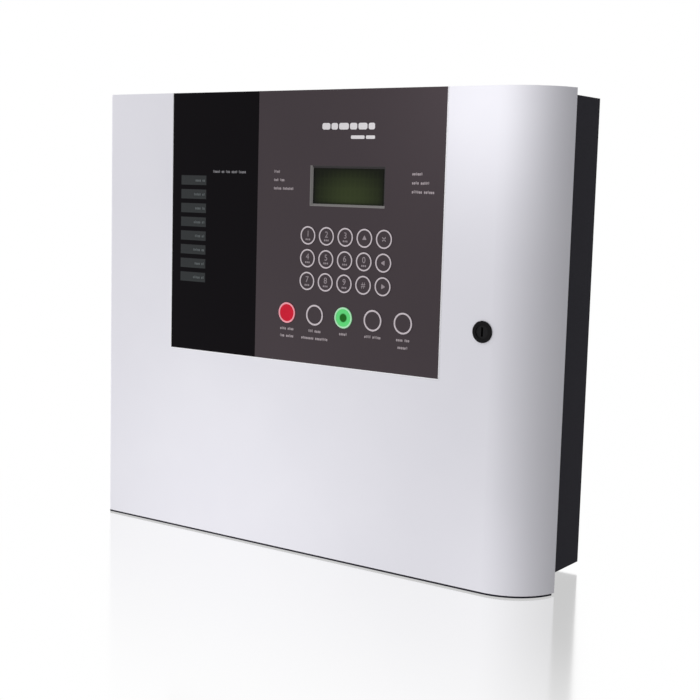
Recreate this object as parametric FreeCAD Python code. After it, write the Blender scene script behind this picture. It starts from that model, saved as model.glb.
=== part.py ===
# A wall-mounted fire alarm control panel.
#
# A graphite sheet-steel back box holds the control board, the mains supply and two sealed batteries.
# A white sheet-steel door hangs on its left edge. The door's front is flat, its left edge is a tight
# bend and its right edge is rolled to a large radius that stops short of a quarter turn. A dark fascia
# fills a notch in the door that runs out at the top: a black zone window on the left, a keypad panel
# with a display on the right. Fifteen small keys and five buttons travel in the panel, and a cam lock
# holds the door to the lip of the box.
#
# Frame, in millimetres: X runs to the right as seen from the front, Y runs from the front to the wall,
# and Z runs up. The origin is the centre of the back box's rear face, which lies on the wall.

import FreeCAD, Part
import math
import os

Vector = FreeCAD.Vector

# ---------------------------------------------------------------- driving dimensions

# Back box
box_width = 369.0
box_height = 333.0
box_depth = 80.0
box_sheet = 1.2
box_lip = 12.0

# Door, which laps over the front of the box
door_depth = 31.0
door_sheet = 1.5
door_roll_radius = 40.0
door_bend_radius = 2.5
door_lap = 10.0
door_right_overhang = 16.0
door_top_gap = 0.5
door_bottom_gap = 2.2
bottom_trim_height = 1.3

# Fascia and the notch it fills
notch_right_margin = 79.1
notch_gap = 0.2
keypad_width = 161.3
keypad_bottom_margin = 36.0
zone_window_width = 85.0
fascia_thickness = 2.0
fascia_lip = 12.0
fascia_stud_radius = 1.5
fascia_stud_length = 8.0

# Display
display_width = 61.3
display_height = 25.4
display_top_margin = 55.2
display_bezel = 1.7
display_bezel_rim = 0.3
lcd_frame_margin = 7.0
lcd_frame_depth = 6.0
lcd_frame_gap = 0.3
lcd_frame_sheet = 0.5
lcd_frame_face = 1.0
lcd_glass_gap = 0.1
lcd_glass_recess = 1.2
lcd_lens_gap = 0.2
lcd_board_margin_x = 13.0
lcd_board_margin_z = 17.0

# Keys and buttons
key_radius = 6.7
key_spacing = 3.1
button_radius = 7.6
button_spacing = 10.2
display_to_keys = 23.0
keys_to_buttons = 24.4
key_side_gap = 0.15
key_stand_proud = 0.3
key_edge_radius = 0.25
key_travel = 0.5
key_flange_width = 0.7
key_flange_thickness = 0.8
key_flange_gap = 0.3
key_stem_radius = 1.6
key_stem_entry = 0.4
switch_side = 6.0
switch_height = 4.5
switch_well_gap = 0.15

# Zone indicators: rows of three, beside a card with the zones' names
zone_count = 8
zone_pitch = 10.6
zone_first_row_drop = 66.0
zone_columns = (44.4, 54.9, 66.9)
zone_card_inset = 6.5
zone_card_width = 31.0
zone_card_thickness = 0.3
zone_card_gap = 0.3
light_pipe_radius = 1.6
light_pipe_gap = 0.2
light_strip_thickness = 2.0
light_strip_margin = 4.0
light_strip_gap = 1.0

# Display board, behind the fascia
display_board_stand_off = 10.9
board_thickness = 1.6
display_board_margin = 5.0
display_board_top_margin = 19.0
display_board_screw_inset = 6.0
sounder_radius = 8.0
sounder_height = 7.0
sounder_hole_radius = 1.3
sounder_hole_depth = 3.0
sounder_from_left = 25.0
sounder_from_bottom = 26.0

# Lock
lock_from_roll = 7.2
lock_drop = 161.5
lock_bezel_radius = 7.4
lock_bezel_height = 1.2
lock_bezel_chamfer = 0.5
lock_shank_radius = 6.0
lock_shank_end_gap = 1.5
lock_plug_radius = 4.6
lock_plug_recess = 0.6
lock_running_gap = 0.08
lock_hole_gap = 0.1
lock_tip_radius = 3.0
lock_cam_end_gap = 3.0
lock_cam_width = 14.0
lock_cam_thickness = 2.0
lock_cam_behind_lip = 1.3
lock_washer_radius = 4.2
lock_washer_thickness = 0.8
cam_bolt_length = 6.0
keyway_width = 1.4
keyway_length = 6.4
keyway_depth = 12.0
lock_nut_thickness = 3.0
lock_nut_wall = 1.0

# Hinges
hinge_height = 40.0
hinge_from_end = 62.0
hinge_pin_radius = 1.5
hinge_pin_stand_out = 1.0
hinge_knuckle_wall = 1.0
hinge_wall_gap = 0.2
hinge_side_gap = 1.3
hinge_arm_gap = 0.5
hinge_running_gap = 0.05
hinge_end_gap = 0.3
hinge_leaf = 1.5
hinge_leaf_from_front = 6.0
hinge_middle_length = 14.4
hinge_screw_from_end = 7.5
hinge_screw_from_edge = 10.0
hinge_screw_length = 5.0

# Fasteners: one size of pan-head screw, with a cross recess
screw_radius = 1.45
screw_thread_radius = 1.5
screw_hole_radius = 1.7
screw_head_radius = 2.8
screw_head_height = 1.9
screw_head_rounding = 0.6
recess_reach = 2.0
recess_half_width = 0.35
recess_depth = 0.7
board_screw_length = 6.0
supply_screw_length = 3.0
nut_across_flats = 5.5
nut_thickness = 2.4
thread_end_wall = 1.0

# Wall fixing holes
wall_hole_radius = 3.0
wall_hole_spacing_x = 300.0
wall_hole_from_top = 9.5
wall_hole_above_batteries = 9.0

# Cable entries along the top of the box
entry_count = 8
entry_pitch = 32.0
entry_radius = 10.2
entry_from_wall = 30.0
open_entries = (0, 7)
bush_wall = 2.2
bush_flange_width = 2.3
bush_flange_thickness = 1.5
plug_wall = 1.5
plug_skirt = 4.0
plug_face = 0.5

# Control board, above the batteries
main_board_from_left = 12.5
main_board_from_supply = 16.0
main_board_from_batteries = 26.8
main_board_from_top = 18.5
pillar_length = 10.0
pillar_across_flats = 6.0
pillar_inset = 6.0
pillar_upper_drop = 20.0

# Screw terminals
terminal_pitch = 5.08
terminal_height = 12.0
terminal_depth = 11.0
terminal_poles = 4
terminal_strip_gap = 0.6
terminal_edge_gap = 1.5
terminal_first_inset = 10.0
terminal_screw_radius = 1.8
terminal_screw_depth = 2.0
terminal_port_side = 3.2
terminal_port_depth = 5.0
terminal_port_from_board = 2.7

# Parts on the control board: sizes along X, Z and out from the board
relay_size = (19.0, 15.5, 15.5)
relay_pitch = 25.0
relay_count = 4
relay_inset = 16.0
relay_drop = 50.0
can_radius = 6.5
can_height = 20.0
can_pitch = 18.0
can_count = 4
can_inset = 132.0
can_drop = 44.0
processor_size = (24.0, 24.0, 2.6)
processor_inset = 100.0
processor_drop = 106.0
chip_size = (22.0, 10.0, 3.6)
chip_insets = (42.0, 152.0)
chip_drops = (88.0, 118.0)
reservoir_radius = 9.0
reservoir_height = 26.0
reservoir_from_right = 32.0
reservoir_above = 38.0
board_edge_inset = 2.0
battery_terminal_from_right = 52.0
header_size = (34.0, 9.0, 9.0)
header_inset = 5.0
header_above = 20.0
header_wall = 1.2
header_floor = 2.5

# Mains supply
supply_width = 88.0
supply_above_batteries = 26.8
supply_from_right = 8.5
supply_from_top = 54.5
supply_cover_depth = 45.0
supply_sheet = 1.0
supply_foot = 10.0
supply_foot_screw_inset = 18.0
supply_pillar_length = 5.0
supply_board_margin = 4.0
supply_screw_inset = 12.0
vent_length = 30.0
vent_width = 4.0
vent_pitch = 11.0
vent_column_offset = 20.0
vent_margin = 16.0

# Parts on the supply's board: sizes along X, Z and out from the board
core_size = (44.0, 36.0, 24.0)
winding_size = (30.0, 28.0, 30.0)
core_above = 54.0
heat_sink_size = (2.5, 40.0, 30.0)
heat_sink_inset = 8.0
heat_sink_drop = 56.0
fin_size = (9.5, 1.6, 29.0)
fin_count = 5
fin_end_gap = 1.0
supply_can_radius = 9.0
supply_can_height = 30.0
supply_can_count = 3
supply_can_pitch = 24.0
supply_can_above = 34.0

# Mains terminals and earth stud, on the rear wall above the supply
mains_poles = 3
mains_from_right = 57.3
mains_fuse_width = 14.8
mains_fuse_radius = 3.2
mains_fuse_depth = 7.0
mains_above_supply = 20.0
earth_from_mains = 16.0
earth_radius = 2.0
earth_length = 14.0
earth_nut_across_flats = 7.0
earth_nut_thickness = 3.2
earth_washer_radius = 5.0
earth_washer_thickness = 1.0
earth_lug_gap = 1.0

# Batteries
battery_width = 151.0
battery_height = 94.0
battery_depth = 65.0
battery_from_left = 18.5
battery_gap = 2.0
battery_floor_gap = 0.5
battery_wall_gap = 0.8
battery_lid = 6.0
battery_lid_set_in = 1.0
battery_corner_radius = 1.5
tab_width = 6.3
tab_thickness = 0.8
tab_height = 6.5
tab_from_side = 14.0
tab_from_front = 12.0
bracket_height = 20.0
bracket_sheet = 1.2
bracket_gap = 0.5
bracket_foot = 11.0

# Leads
lead_radius = 1.3

# ---------------------------------------------------------------- planes and lines worked out from them

hinge_knuckle_radius = hinge_pin_radius + hinge_knuckle_wall
hinge_axis_out = hinge_knuckle_radius + hinge_wall_gap
door_left_overhang = hinge_axis_out + hinge_knuckle_radius + hinge_side_gap + door_sheet
door_top_overhang = door_sheet + door_top_gap
door_bottom_overhang = door_bottom_gap + door_sheet + bottom_trim_height
door_left_edge_setback = hinge_knuckle_radius

front_y = -(box_depth + door_depth - door_lap)
door_rear_y = front_y + door_depth
door_inner_y = front_y + door_sheet
box_front_y = -box_depth
box_inner_y = -box_sheet
box_left_x = -box_width / 2
box_right_x = box_width / 2
box_top_z = box_height / 2
box_bottom_z = -box_height / 2
door_left_x = box_left_x - door_left_overhang
door_right_x = box_right_x + door_right_overhang
door_top_z = box_top_z + door_top_overhang
door_bottom_z = box_bottom_z - door_bottom_overhang
sheet_bottom_z = door_bottom_z + bottom_trim_height
roll_end_angle = math.acos(1 - door_depth / door_roll_radius)
same_place = 1e-6
hinge_leaf_length = door_depth - hinge_leaf_from_front
roll_start_x = door_right_x - door_roll_radius * math.sin(roll_end_angle)

key_pitch = 2 * key_radius + key_spacing
button_pitch = 2 * button_radius + button_spacing
key_rows = 3
key_first_row_drop = display_top_margin + display_height + display_to_keys
button_row_drop = key_first_row_drop + (key_rows - 1) * key_pitch + keys_to_buttons
panel_thickness = door_sheet

notch_right_x = door_right_x - notch_right_margin
notch_left_x = notch_right_x - keypad_width - zone_window_width
notch_bottom_z = door_top_z - button_row_drop - keypad_bottom_margin
panel_left_x = notch_left_x + zone_window_width
panel_right_x = notch_right_x - notch_gap
panel_bottom_z = notch_bottom_z + notch_gap
panel_middle_x = (panel_left_x + notch_right_x) / 2

fascia_front_y = front_y + panel_thickness
fascia_rear_y = fascia_front_y + fascia_thickness
fascia_left_x = notch_left_x - fascia_lip
fascia_right_x = notch_right_x + fascia_lip
fascia_bottom_z = notch_bottom_z - fascia_lip

display_board_y = fascia_rear_y + display_board_stand_off
display_board_left_x = notch_left_x + display_board_margin
display_board_right_x = notch_right_x - display_board_margin
display_board_bottom_z = notch_bottom_z + display_board_margin
display_board_top_z = door_top_z - display_board_top_margin

display_middle_z = door_top_z - display_top_margin - display_height / 2

hinge_x = box_left_x - hinge_axis_out
hinge_y = door_rear_y

lock_x = roll_start_x - lock_from_roll
lock_z = door_top_z - lock_drop
cam_front_y = box_front_y + box_sheet + lock_cam_behind_lip
cam_rear_y = cam_front_y + lock_cam_thickness
lock_cam_reach = box_right_x - box_sheet - lock_cam_end_gap - lock_x

board_front_y = box_inner_y - pillar_length - board_thickness
supply_board_front_y = box_inner_y - supply_pillar_length - board_thickness
battery_bottom_z = box_bottom_z + box_sheet + battery_floor_gap
battery_top_z = battery_bottom_z + battery_height
battery_rear_y = box_inner_y - battery_wall_gap
battery_front_y = battery_rear_y - battery_depth
battery_left_start = box_left_x + battery_from_left
battery_starts = (battery_left_start, battery_left_start + battery_width + battery_gap)
tab_y = battery_front_y + tab_from_front

supply_right = box_right_x - supply_from_right
supply_left = supply_right - supply_width
supply_top = box_top_z - supply_from_top
supply_bottom = battery_top_z + supply_above_batteries
main_board_left = box_left_x + main_board_from_left
main_board_right = supply_left - main_board_from_supply
main_board_bottom = battery_top_z + main_board_from_batteries
main_board_top = box_top_z - main_board_from_top

# Key name, column and row in the block of small keys.
keys = [
    ("key_1", 0, 0), ("key_2", 1, 0), ("key_3", 2, 0), ("key_up", 3, 0), ("key_cancel", 4, 0),
    ("key_4", 0, 1), ("key_5", 1, 1), ("key_6", 2, 1), ("key_0", 3, 1), ("key_left", 4, 1),
    ("key_7", 0, 2), ("key_8", 1, 2), ("key_9", 2, 2), ("key_hash", 3, 2), ("key_right", 4, 2),
]
buttons = ["alarm_button", "silence_button", "ok_button", "mute_button", "reset_button"]
middle_column = 2


# ---------------------------------------------------------------- helpers

def block(x0, x1, y0, y1, z0, z1):
    """A box between two corners."""
    return Part.makeBox(x1 - x0, y1 - y0, z1 - z0, Vector(x0, y0, z0))


def rod_y(x, z, radius, y0, y1):
    """A cylinder along Y."""
    return Part.makeCylinder(radius, y1 - y0, Vector(x, y0, z), Vector(0, 1, 0))


def rod_z(x, y, radius, z0, z1):
    """A cylinder along Z."""
    return Part.makeCylinder(radius, z1 - z0, Vector(x, y, z0), Vector(0, 0, 1))


def rod_x(y, z, radius, x0, x1):
    """A cylinder along X."""
    return Part.makeCylinder(radius, x1 - x0, Vector(x0, y, z), Vector(1, 0, 0))


def slot_y(x, z, length, width, y0, y1):
    """A round-ended slot along X, cut through along Y."""
    half = (length - width) / 2
    return block(x - half, x + half, y0, y1, z - width / 2, z + width / 2).fuse(
        [rod_y(x - half, z, width / 2, y0, y1), rod_y(x + half, z, width / 2, y0, y1)])


def hexagon_y(x, z, across_flats, y0, y1):
    """A hexagonal prism along Y, with flats to the left and right."""
    corner = across_flats / math.sqrt(3)
    angles = [math.radians(30 + 60 * k) for k in range(7)]
    points = [Vector(x + corner * math.cos(angle), y0, z + corner * math.sin(angle)) for angle in angles]
    return Part.Face(Part.makePolygon(points)).extrude(Vector(0, y1 - y0, 0))


def prism_z(edges, z0, z1):
    """The closed outline that the edges make at Z = 0, raised from z0 to z1."""
    face = Part.Face(Part.Wire(edges))
    face.translate(Vector(0, 0, z0))
    return face.extrude(Vector(0, 0, z1 - z0))


def line(a, b):
    return Part.LineSegment(Vector(*a), Vector(*b)).toShape()


def arc(a, middle, b):
    return Part.Arc(Vector(*a), Vector(*middle), Vector(*b)).toShape()


def edges_at_y(shape, y):
    """The edges that lie in the plane Y = y."""
    return [edge for edge in shape.Edges
            if edge.BoundBox.YLength < same_place and abs(edge.BoundBox.YMin - y) < same_place]


def screw_from_front(x, z, seat_y, length):
    """A pan-head screw whose head sits in front of seat_y, with its shank towards the wall."""
    face_y = seat_y - screw_head_height
    head = rod_y(x, z, screw_head_radius, face_y, seat_y)
    head = head.makeFillet(screw_head_rounding, edges_at_y(head, face_y))
    shank = rod_y(x, z, screw_radius, seat_y, seat_y + length)
    floor_y = face_y + recess_depth
    recess = [block(x - half_x, x + half_x, face_y, floor_y, z - half_z, z + half_z)
              for half_x, half_z in ((recess_reach, recess_half_width), (recess_half_width, recess_reach))]
    return head.fuse(shank).cut(recess)


def screw_from_rear(x, z, seat_y, length):
    """A pan-head screw whose head sits behind seat_y, with its shank towards the front."""
    turned = screw_from_front(x, z, seat_y, length)
    return turned.mirror(Vector(x, seat_y, z), Vector(0, 1, 0))


def save(name, *solids):
    """Writes one node. Several solids stay separate in it."""
    parts = [s for shape in solids for s in shape.Solids]
    shape = parts[0] if len(parts) == 1 else Part.makeCompound(parts)
    shape.exportStep("parts/" + name + ".step")


# ---------------------------------------------------------------- back box

def wall_hole_places():
    heights = (box_top_z - wall_hole_from_top, battery_top_z + wall_hole_above_batteries)
    return [(side * wall_hole_spacing_x / 2, z) for side in (-1, 1) for z in heights]


def entry_x(index):
    return (index - (entry_count - 1) / 2) * entry_pitch


def make_back_box():
    """Folded tray with a lip turned in round its open front."""
    shell = block(box_left_x, box_right_x, box_front_y, 0, box_bottom_z, box_top_z)
    hollow = block(box_left_x + box_sheet, box_right_x - box_sheet, box_front_y + box_sheet, box_inner_y,
                   box_bottom_z + box_sheet, box_top_z - box_sheet)
    mouth = block(box_left_x + box_lip, box_right_x - box_lip, box_front_y, box_front_y + box_sheet,
                  box_bottom_z + box_lip, box_top_z - box_lip)
    holes = [rod_y(x, z, wall_hole_radius, box_inner_y, 0) for x, z in wall_hole_places()]
    holes += [rod_z(entry_x(index), -entry_from_wall, entry_radius, box_top_z - box_sheet, box_top_z)
              for index in range(entry_count)]
    holes += [rod_x(y, z, screw_hole_radius, box_left_x, box_left_x + box_sheet)
              for y, z in hinge_screw_places()]
    holes += [rod_y(x, z, screw_thread_radius, box_inner_y, 0) for x, z in bracket_foot_places()]
    holes += [rod_y(x, z, screw_thread_radius, box_inner_y, 0) for x, z in supply_foot_places()]
    return shell.cut([hollow, mouth] + holes)


def make_cable_bushes():
    """Rubber edge bushes in the open cable entries."""
    inner_z = box_top_z - box_sheet
    flange_radius = entry_radius + bush_flange_width
    bushes = []
    for index in open_entries:
        x, y = entry_x(index), -entry_from_wall
        body = rod_z(x, y, flange_radius, box_top_z, box_top_z + bush_flange_thickness)
        neck = rod_z(x, y, entry_radius, inner_z, box_top_z)
        inner = rod_z(x, y, flange_radius, inner_z - bush_flange_thickness, inner_z)
        bore = rod_z(x, y, entry_radius - bush_wall, inner_z - bush_flange_thickness,
                     box_top_z + bush_flange_thickness)
        bushes.append(body.fuse([neck, inner]).cut(bore))
    return bushes


def make_blanking_plugs():
    """Snap-in plugs in the entries that aren't used."""
    skirt_z = box_top_z - box_sheet - plug_skirt
    plugs = []
    for index in range(entry_count):
        if index in open_entries:
            continue
        x, y = entry_x(index), -entry_from_wall
        cap = rod_z(x, y, entry_radius + bush_flange_width, box_top_z, box_top_z + bush_flange_thickness)
        skirt = rod_z(x, y, entry_radius, skirt_z, box_top_z)
        well = rod_z(x, y, entry_radius - plug_wall, skirt_z, box_top_z - plug_face)
        plugs.append(cap.fuse(skirt).cut(well))
    return plugs


# ---------------------------------------------------------------- door

def door_outline(inset, rear_y):
    """Plan points and arcs of the door's face, inset from the outside, from the left rear to the right rear.

    Returns the edges and their two end points. The right-hand roll stops where it reaches rear_y.
    """
    bend = door_bend_radius - inset
    roll = door_roll_radius - inset
    roll_centre_y = front_y + door_roll_radius
    bend_centre = (door_left_x + door_bend_radius, front_y + door_bend_radius)
    left_x = door_left_x + inset
    y = front_y + inset
    end_angle = math.acos((roll_centre_y - rear_y) / roll)
    half = end_angle / 2
    diagonal = bend * math.sqrt(0.5)
    start = (left_x, min(rear_y, door_rear_y - door_left_edge_setback), 0)
    end = (roll_start_x + roll * math.sin(end_angle), roll_centre_y - roll * math.cos(end_angle), 0)
    edges = [
        line(start, (left_x, bend_centre[1], 0)),
        arc((left_x, bend_centre[1], 0), (bend_centre[0] - diagonal, bend_centre[1] - diagonal, 0),
            (bend_centre[0], y, 0)),
        line((bend_centre[0], y, 0), (roll_start_x, y, 0)),
        arc((roll_start_x, y, 0),
            (roll_start_x + roll * math.sin(half), roll_centre_y - roll * math.cos(half), 0),
            end),
    ]
    return edges, start, end


def make_door_shell():
    """One sheet bent on the left and rolled on the right, with flat flanges across its top and bottom."""
    outer, outer_start, outer_end = door_outline(0, door_rear_y)
    inner, inner_start, inner_end = door_outline(door_sheet, door_rear_y)
    skin = prism_z(outer + [line(outer_end, inner_end)] + inner[::-1] + [line(inner_start, outer_start)],
                   sheet_bottom_z, door_top_z)
    flange_rear_y = door_rear_y - door_left_edge_setback
    edges, start, end = door_outline(0, flange_rear_y)
    outline = edges + [line(end, start)]
    top = prism_z(outline, door_top_z - door_sheet, door_top_z)
    bottom = prism_z(outline, sheet_bottom_z, sheet_bottom_z + door_sheet)
    notch = block(notch_left_x, notch_right_x, front_y, door_rear_y, door_top_z - door_sheet, door_top_z)
    window = block(notch_left_x, notch_right_x, front_y, door_inner_y, notch_bottom_z, door_top_z)
    lock_hole = rod_y(lock_x, lock_z, lock_shank_radius + lock_hole_gap, front_y, door_inner_y)
    screw_holes = [rod_x(y, z, screw_hole_radius, door_left_x, door_left_x + door_sheet)
                   for y, z in door_hinge_screw_places()]
    studs = [rod_y(x, z, fascia_stud_radius, door_inner_y, door_inner_y + fascia_stud_length)
             for x, z in fascia_stud_places()]
    return skin.fuse([top, bottom]).cut([notch, window, lock_hole] + screw_holes).fuse(studs)


def make_bottom_trim():
    """Dark edge strip under the door's bottom flange, level with its outside."""
    edges, start, end = door_outline(0, door_rear_y - door_left_edge_setback)
    return prism_z(edges + [line(end, start)], door_bottom_z, sheet_bottom_z)


# ---------------------------------------------------------------- hinges

def hinge_middles():
    return [box_bottom_z + hinge_from_end, box_top_z - hinge_from_end]


def hinge_spans():
    """Offsets of the three knuckles' ends from a hinge's middle: lower, middle and upper."""
    half = hinge_height / 2
    middle = hinge_middle_length / 2
    return [(-half, -middle - hinge_end_gap), (-middle, middle), (middle + hinge_end_gap, half)]


def screw_heights():
    reach = hinge_height / 2 - hinge_screw_from_end
    return [middle + side * reach for middle in hinge_middles() for side in (-1, 1)]


def hinge_screw_places():
    """Y and Z of the screws that hold the leaves to the box's side."""
    return [(hinge_y + hinge_leaf_length - hinge_screw_from_edge, z) for z in screw_heights()]


def door_hinge_screw_places():
    """Y and Z of the screws that hold the leaves inside the door's left edge."""
    return [(hinge_y - hinge_leaf_length + hinge_screw_from_edge, z) for z in screw_heights()]


def make_box_hinge_leaves():
    """Outer and lower knuckles on a leaf that lies on the outside of the box."""
    leaves = []
    for middle in hinge_middles():
        spans = hinge_spans()
        leaf = block(box_left_x - hinge_leaf, box_left_x, hinge_y + 2 * hinge_knuckle_radius,
                     hinge_y + hinge_leaf_length, middle - hinge_height / 2, middle + hinge_height / 2)
        pieces = []
        for low, high in (spans[0], spans[2]):
            pieces.append(rod_z(hinge_x, hinge_y, hinge_knuckle_radius, middle + low, middle + high))
            pieces.append(block(box_left_x - hinge_leaf, box_left_x, hinge_y,
                                hinge_y + 2 * hinge_knuckle_radius, middle + low, middle + high))
        bore = rod_z(hinge_x, hinge_y, hinge_pin_radius, middle - hinge_height / 2,
                     middle + hinge_height / 2)
        holes = [rod_x(y, z, screw_hole_radius, box_left_x - hinge_leaf, box_left_x)
                 for y, z in hinge_screw_places()]
        leaves.append(leaf.fuse(pieces).cut([bore] + holes))
    return leaves


def make_door_hinge_leaves():
    """Middle knuckle on a leaf that lies inside the door's left edge."""
    leaf_x = door_left_x + door_sheet
    leaves = []
    for middle in hinge_middles():
        low, high = hinge_spans()[1]
        leaf = block(leaf_x, leaf_x + hinge_leaf, hinge_y - hinge_leaf_length,
                     hinge_y - door_left_edge_setback, middle - hinge_height / 2, middle + hinge_height / 2)
        arm = block(leaf_x + hinge_leaf / 2, hinge_x, hinge_y - hinge_knuckle_radius - hinge_arm_gap,
                    hinge_y, middle + low, middle + high)
        knuckle = rod_z(hinge_x, hinge_y, hinge_knuckle_radius, middle + low, middle + high)
        bore = rod_z(hinge_x, hinge_y, hinge_pin_radius + hinge_running_gap, middle + low, middle + high)
        holes = [rod_x(y, z, screw_hole_radius, leaf_x, leaf_x + hinge_leaf)
                 for y, z in door_hinge_screw_places()]
        leaves.append(leaf.fuse([arm, knuckle]).cut([bore] + holes))
    return leaves


def make_hinge_pins():
    """Plain pins, fast in the box's knuckles and free in the door's."""
    reach = hinge_height / 2 + hinge_pin_stand_out
    return [rod_z(hinge_x, hinge_y, hinge_pin_radius, middle - reach, middle + reach)
            for middle in hinge_middles()]


def side_screw(y, z, seat_x, direction, length):
    """A pan-head screw along X. direction is +1 where the shank points to +X."""
    screw = screw_from_front(0, 0, 0, length)
    screw.rotate(Vector(0, 0, 0), Vector(0, 0, 1), -90 * direction)
    screw.translate(Vector(seat_x, y, z))
    return screw


# ---------------------------------------------------------------- fascia, keypad and zone window

def key_centre(column, row):
    return (panel_middle_x + (column - middle_column) * key_pitch,
            door_top_z - key_first_row_drop - row * key_pitch)


def button_centre(index):
    return panel_middle_x + (index - middle_column) * button_pitch, door_top_z - button_row_drop


def all_keys():
    """Name, centre and radius of each key and button."""
    found = [(name, *key_centre(column, row), key_radius) for name, column, row in keys]
    found += [(name, *button_centre(index), button_radius) for index, name in enumerate(buttons)]
    return found


def zone_row_z(row):
    return door_top_z - zone_first_row_drop - row * zone_pitch


def display_board_screw_places():
    """Corners and middles of the display board, clear of the keys and the display."""
    inset = display_board_screw_inset
    left, right = display_board_left_x + inset, display_board_right_x - inset
    low, high = display_board_bottom_z + inset, display_board_top_z - inset
    middle = (low + high) / 2
    between = panel_left_x + pillar_across_flats
    return [(x, z) for x in (left, between, right) for z in (low, middle, high)
            if (x, z) != (between, middle)]


def fascia_stud_places():
    """Weld studs behind the door, beside and below the notch."""
    side = fascia_lip / 2
    low, high = notch_bottom_z + 2 * side, door_top_z - 3 * side
    places = [(x, z) for x in (notch_left_x - side, notch_right_x + side)
              for z in (low, (low + high) / 2, high)]
    width = notch_right_x - notch_left_x
    return places + [(notch_left_x + width * quarter / 4, notch_bottom_z - side) for quarter in (1, 3)]


def make_fascia_base():
    """Moulding that lies behind the door's notch and carries the panel, the window and the display board."""
    plate = block(fascia_left_x, fascia_right_x, fascia_front_y, fascia_rear_y, fascia_bottom_z,
                  door_top_z - door_sheet - notch_gap)
    roof = block(notch_left_x + notch_gap, notch_right_x - notch_gap, fascia_front_y,
                 door_rear_y - door_left_edge_setback, door_top_z - door_sheet, door_top_z)
    neck = block(notch_left_x + notch_gap, notch_right_x - notch_gap, fascia_front_y, fascia_rear_y,
                 door_top_z - door_sheet - notch_gap, door_top_z)
    bosses = [rod_y(x, z, pillar_across_flats / 2, fascia_rear_y, display_board_y)
              for x, z in display_board_screw_places()]
    cuts = [rod_y(x, z, screw_thread_radius, fascia_rear_y + thread_end_wall, display_board_y)
            for x, z in display_board_screw_places()]
    cuts += [rod_y(x, z, screw_hole_radius, fascia_front_y, fascia_rear_y) for x, z in fascia_stud_places()]
    flange = key_flange_width + key_side_gap
    cuts += [rod_y(x, z, radius + flange + key_side_gap, fascia_front_y, fascia_rear_y)
             for _, x, z, radius in all_keys()]
    margin = display_bezel + lcd_frame_gap
    cuts.append(block(panel_middle_x - display_width / 2 - margin,
                      panel_middle_x + display_width / 2 + margin, fascia_front_y, fascia_rear_y,
                      display_middle_z - display_height / 2 - margin,
                      display_middle_z + display_height / 2 + margin))
    cuts += [rod_y(notch_left_x + dx, zone_row_z(row), light_pipe_radius + light_pipe_gap, fascia_front_y,
                   fascia_rear_y) for dx in zone_columns for row in range(zone_count)]
    left, right, low, high = zone_card_edges()
    gap = zone_card_gap
    cuts.append(block(left - gap, right + gap, fascia_front_y, fascia_front_y + zone_card_thickness + gap,
                      low - gap, high + gap))
    return plate.fuse([roof, neck] + bosses).cut(cuts)


def make_keypad_panel():
    """Front panel of the keypad, with a round hole for each key and a square one for the display."""
    plate = block(panel_left_x, panel_right_x, front_y, fascia_front_y, panel_bottom_z, door_top_z)
    cuts = [rod_y(x, z, radius + key_side_gap, front_y, fascia_front_y) for _, x, z, radius in all_keys()]
    cuts.append(block(panel_middle_x - display_width / 2 - display_bezel,
                      panel_middle_x + display_width / 2 + display_bezel, front_y, fascia_front_y,
                      display_middle_z - display_height / 2 - display_bezel,
                      display_middle_z + display_height / 2 + display_bezel))
    return plate.cut(cuts)


def make_zone_window():
    """Dark window over the zone indicators and their labels."""
    return block(notch_left_x + notch_gap, panel_left_x, front_y, fascia_front_y, panel_bottom_z, door_top_z)


def zone_card_edges():
    left = notch_left_x + zone_card_inset
    low = zone_row_z(zone_count - 1) - zone_pitch / 2
    return left, left + zone_card_width, low, zone_row_z(0) + zone_pitch / 2


def make_zone_label_card():
    """Card with the zone names, in a pocket behind the window."""
    left, right, low, high = zone_card_edges()
    return block(left, right, fascia_front_y, fascia_front_y + zone_card_thickness, low, high)


def make_zone_light_pipes():
    """One moulding: a clear strip with a pipe to each indicator's place behind the window."""
    plate_rear = display_board_y - light_strip_gap
    plate_front = plate_rear - light_strip_thickness
    margin = light_strip_margin
    strip = block(notch_left_x + zone_columns[0] - margin, notch_left_x + zone_columns[-1] + margin,
                  plate_front, plate_rear, zone_row_z(zone_count - 1) - margin, zone_row_z(0) + margin)
    pipes = [rod_y(notch_left_x + dx, zone_row_z(row), light_pipe_radius, fascia_front_y, plate_front)
             for dx in zone_columns for row in range(zone_count)]
    return strip.fuse(pipes)


def make_key(x, z, radius):
    """Round cap, a flange that keeps it in the panel, and a stem that works the switch."""
    cap_front = front_y - key_stand_proud
    flange_front = fascia_front_y + key_flange_gap
    flange_rear = flange_front + key_flange_thickness
    stem_end = display_board_y - switch_height + key_stem_entry
    cap = rod_y(x, z, radius, cap_front, flange_rear)
    cap = cap.makeFillet(key_edge_radius, edges_at_y(cap, cap_front))
    flange = rod_y(x, z, radius + key_flange_width, flange_front, flange_rear)
    stem = rod_y(x, z, key_stem_radius, flange_rear, stem_end)
    return cap.fuse([flange, stem])


def make_key_switches():
    """Square dome switches on the display board, each with a well that its key's stem enters."""
    half = switch_side / 2
    front = display_board_y - switch_height
    switches = []
    for _, x, z, _ in all_keys():
        body = block(x - half, x + half, front, display_board_y, z - half, z + half)
        well = rod_y(x, z, key_stem_radius + switch_well_gap, front,
                     front + key_stem_entry + key_travel + switch_well_gap)
        switches.append(body.cut(well))
    return switches


# ---------------------------------------------------------------- display

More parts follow.
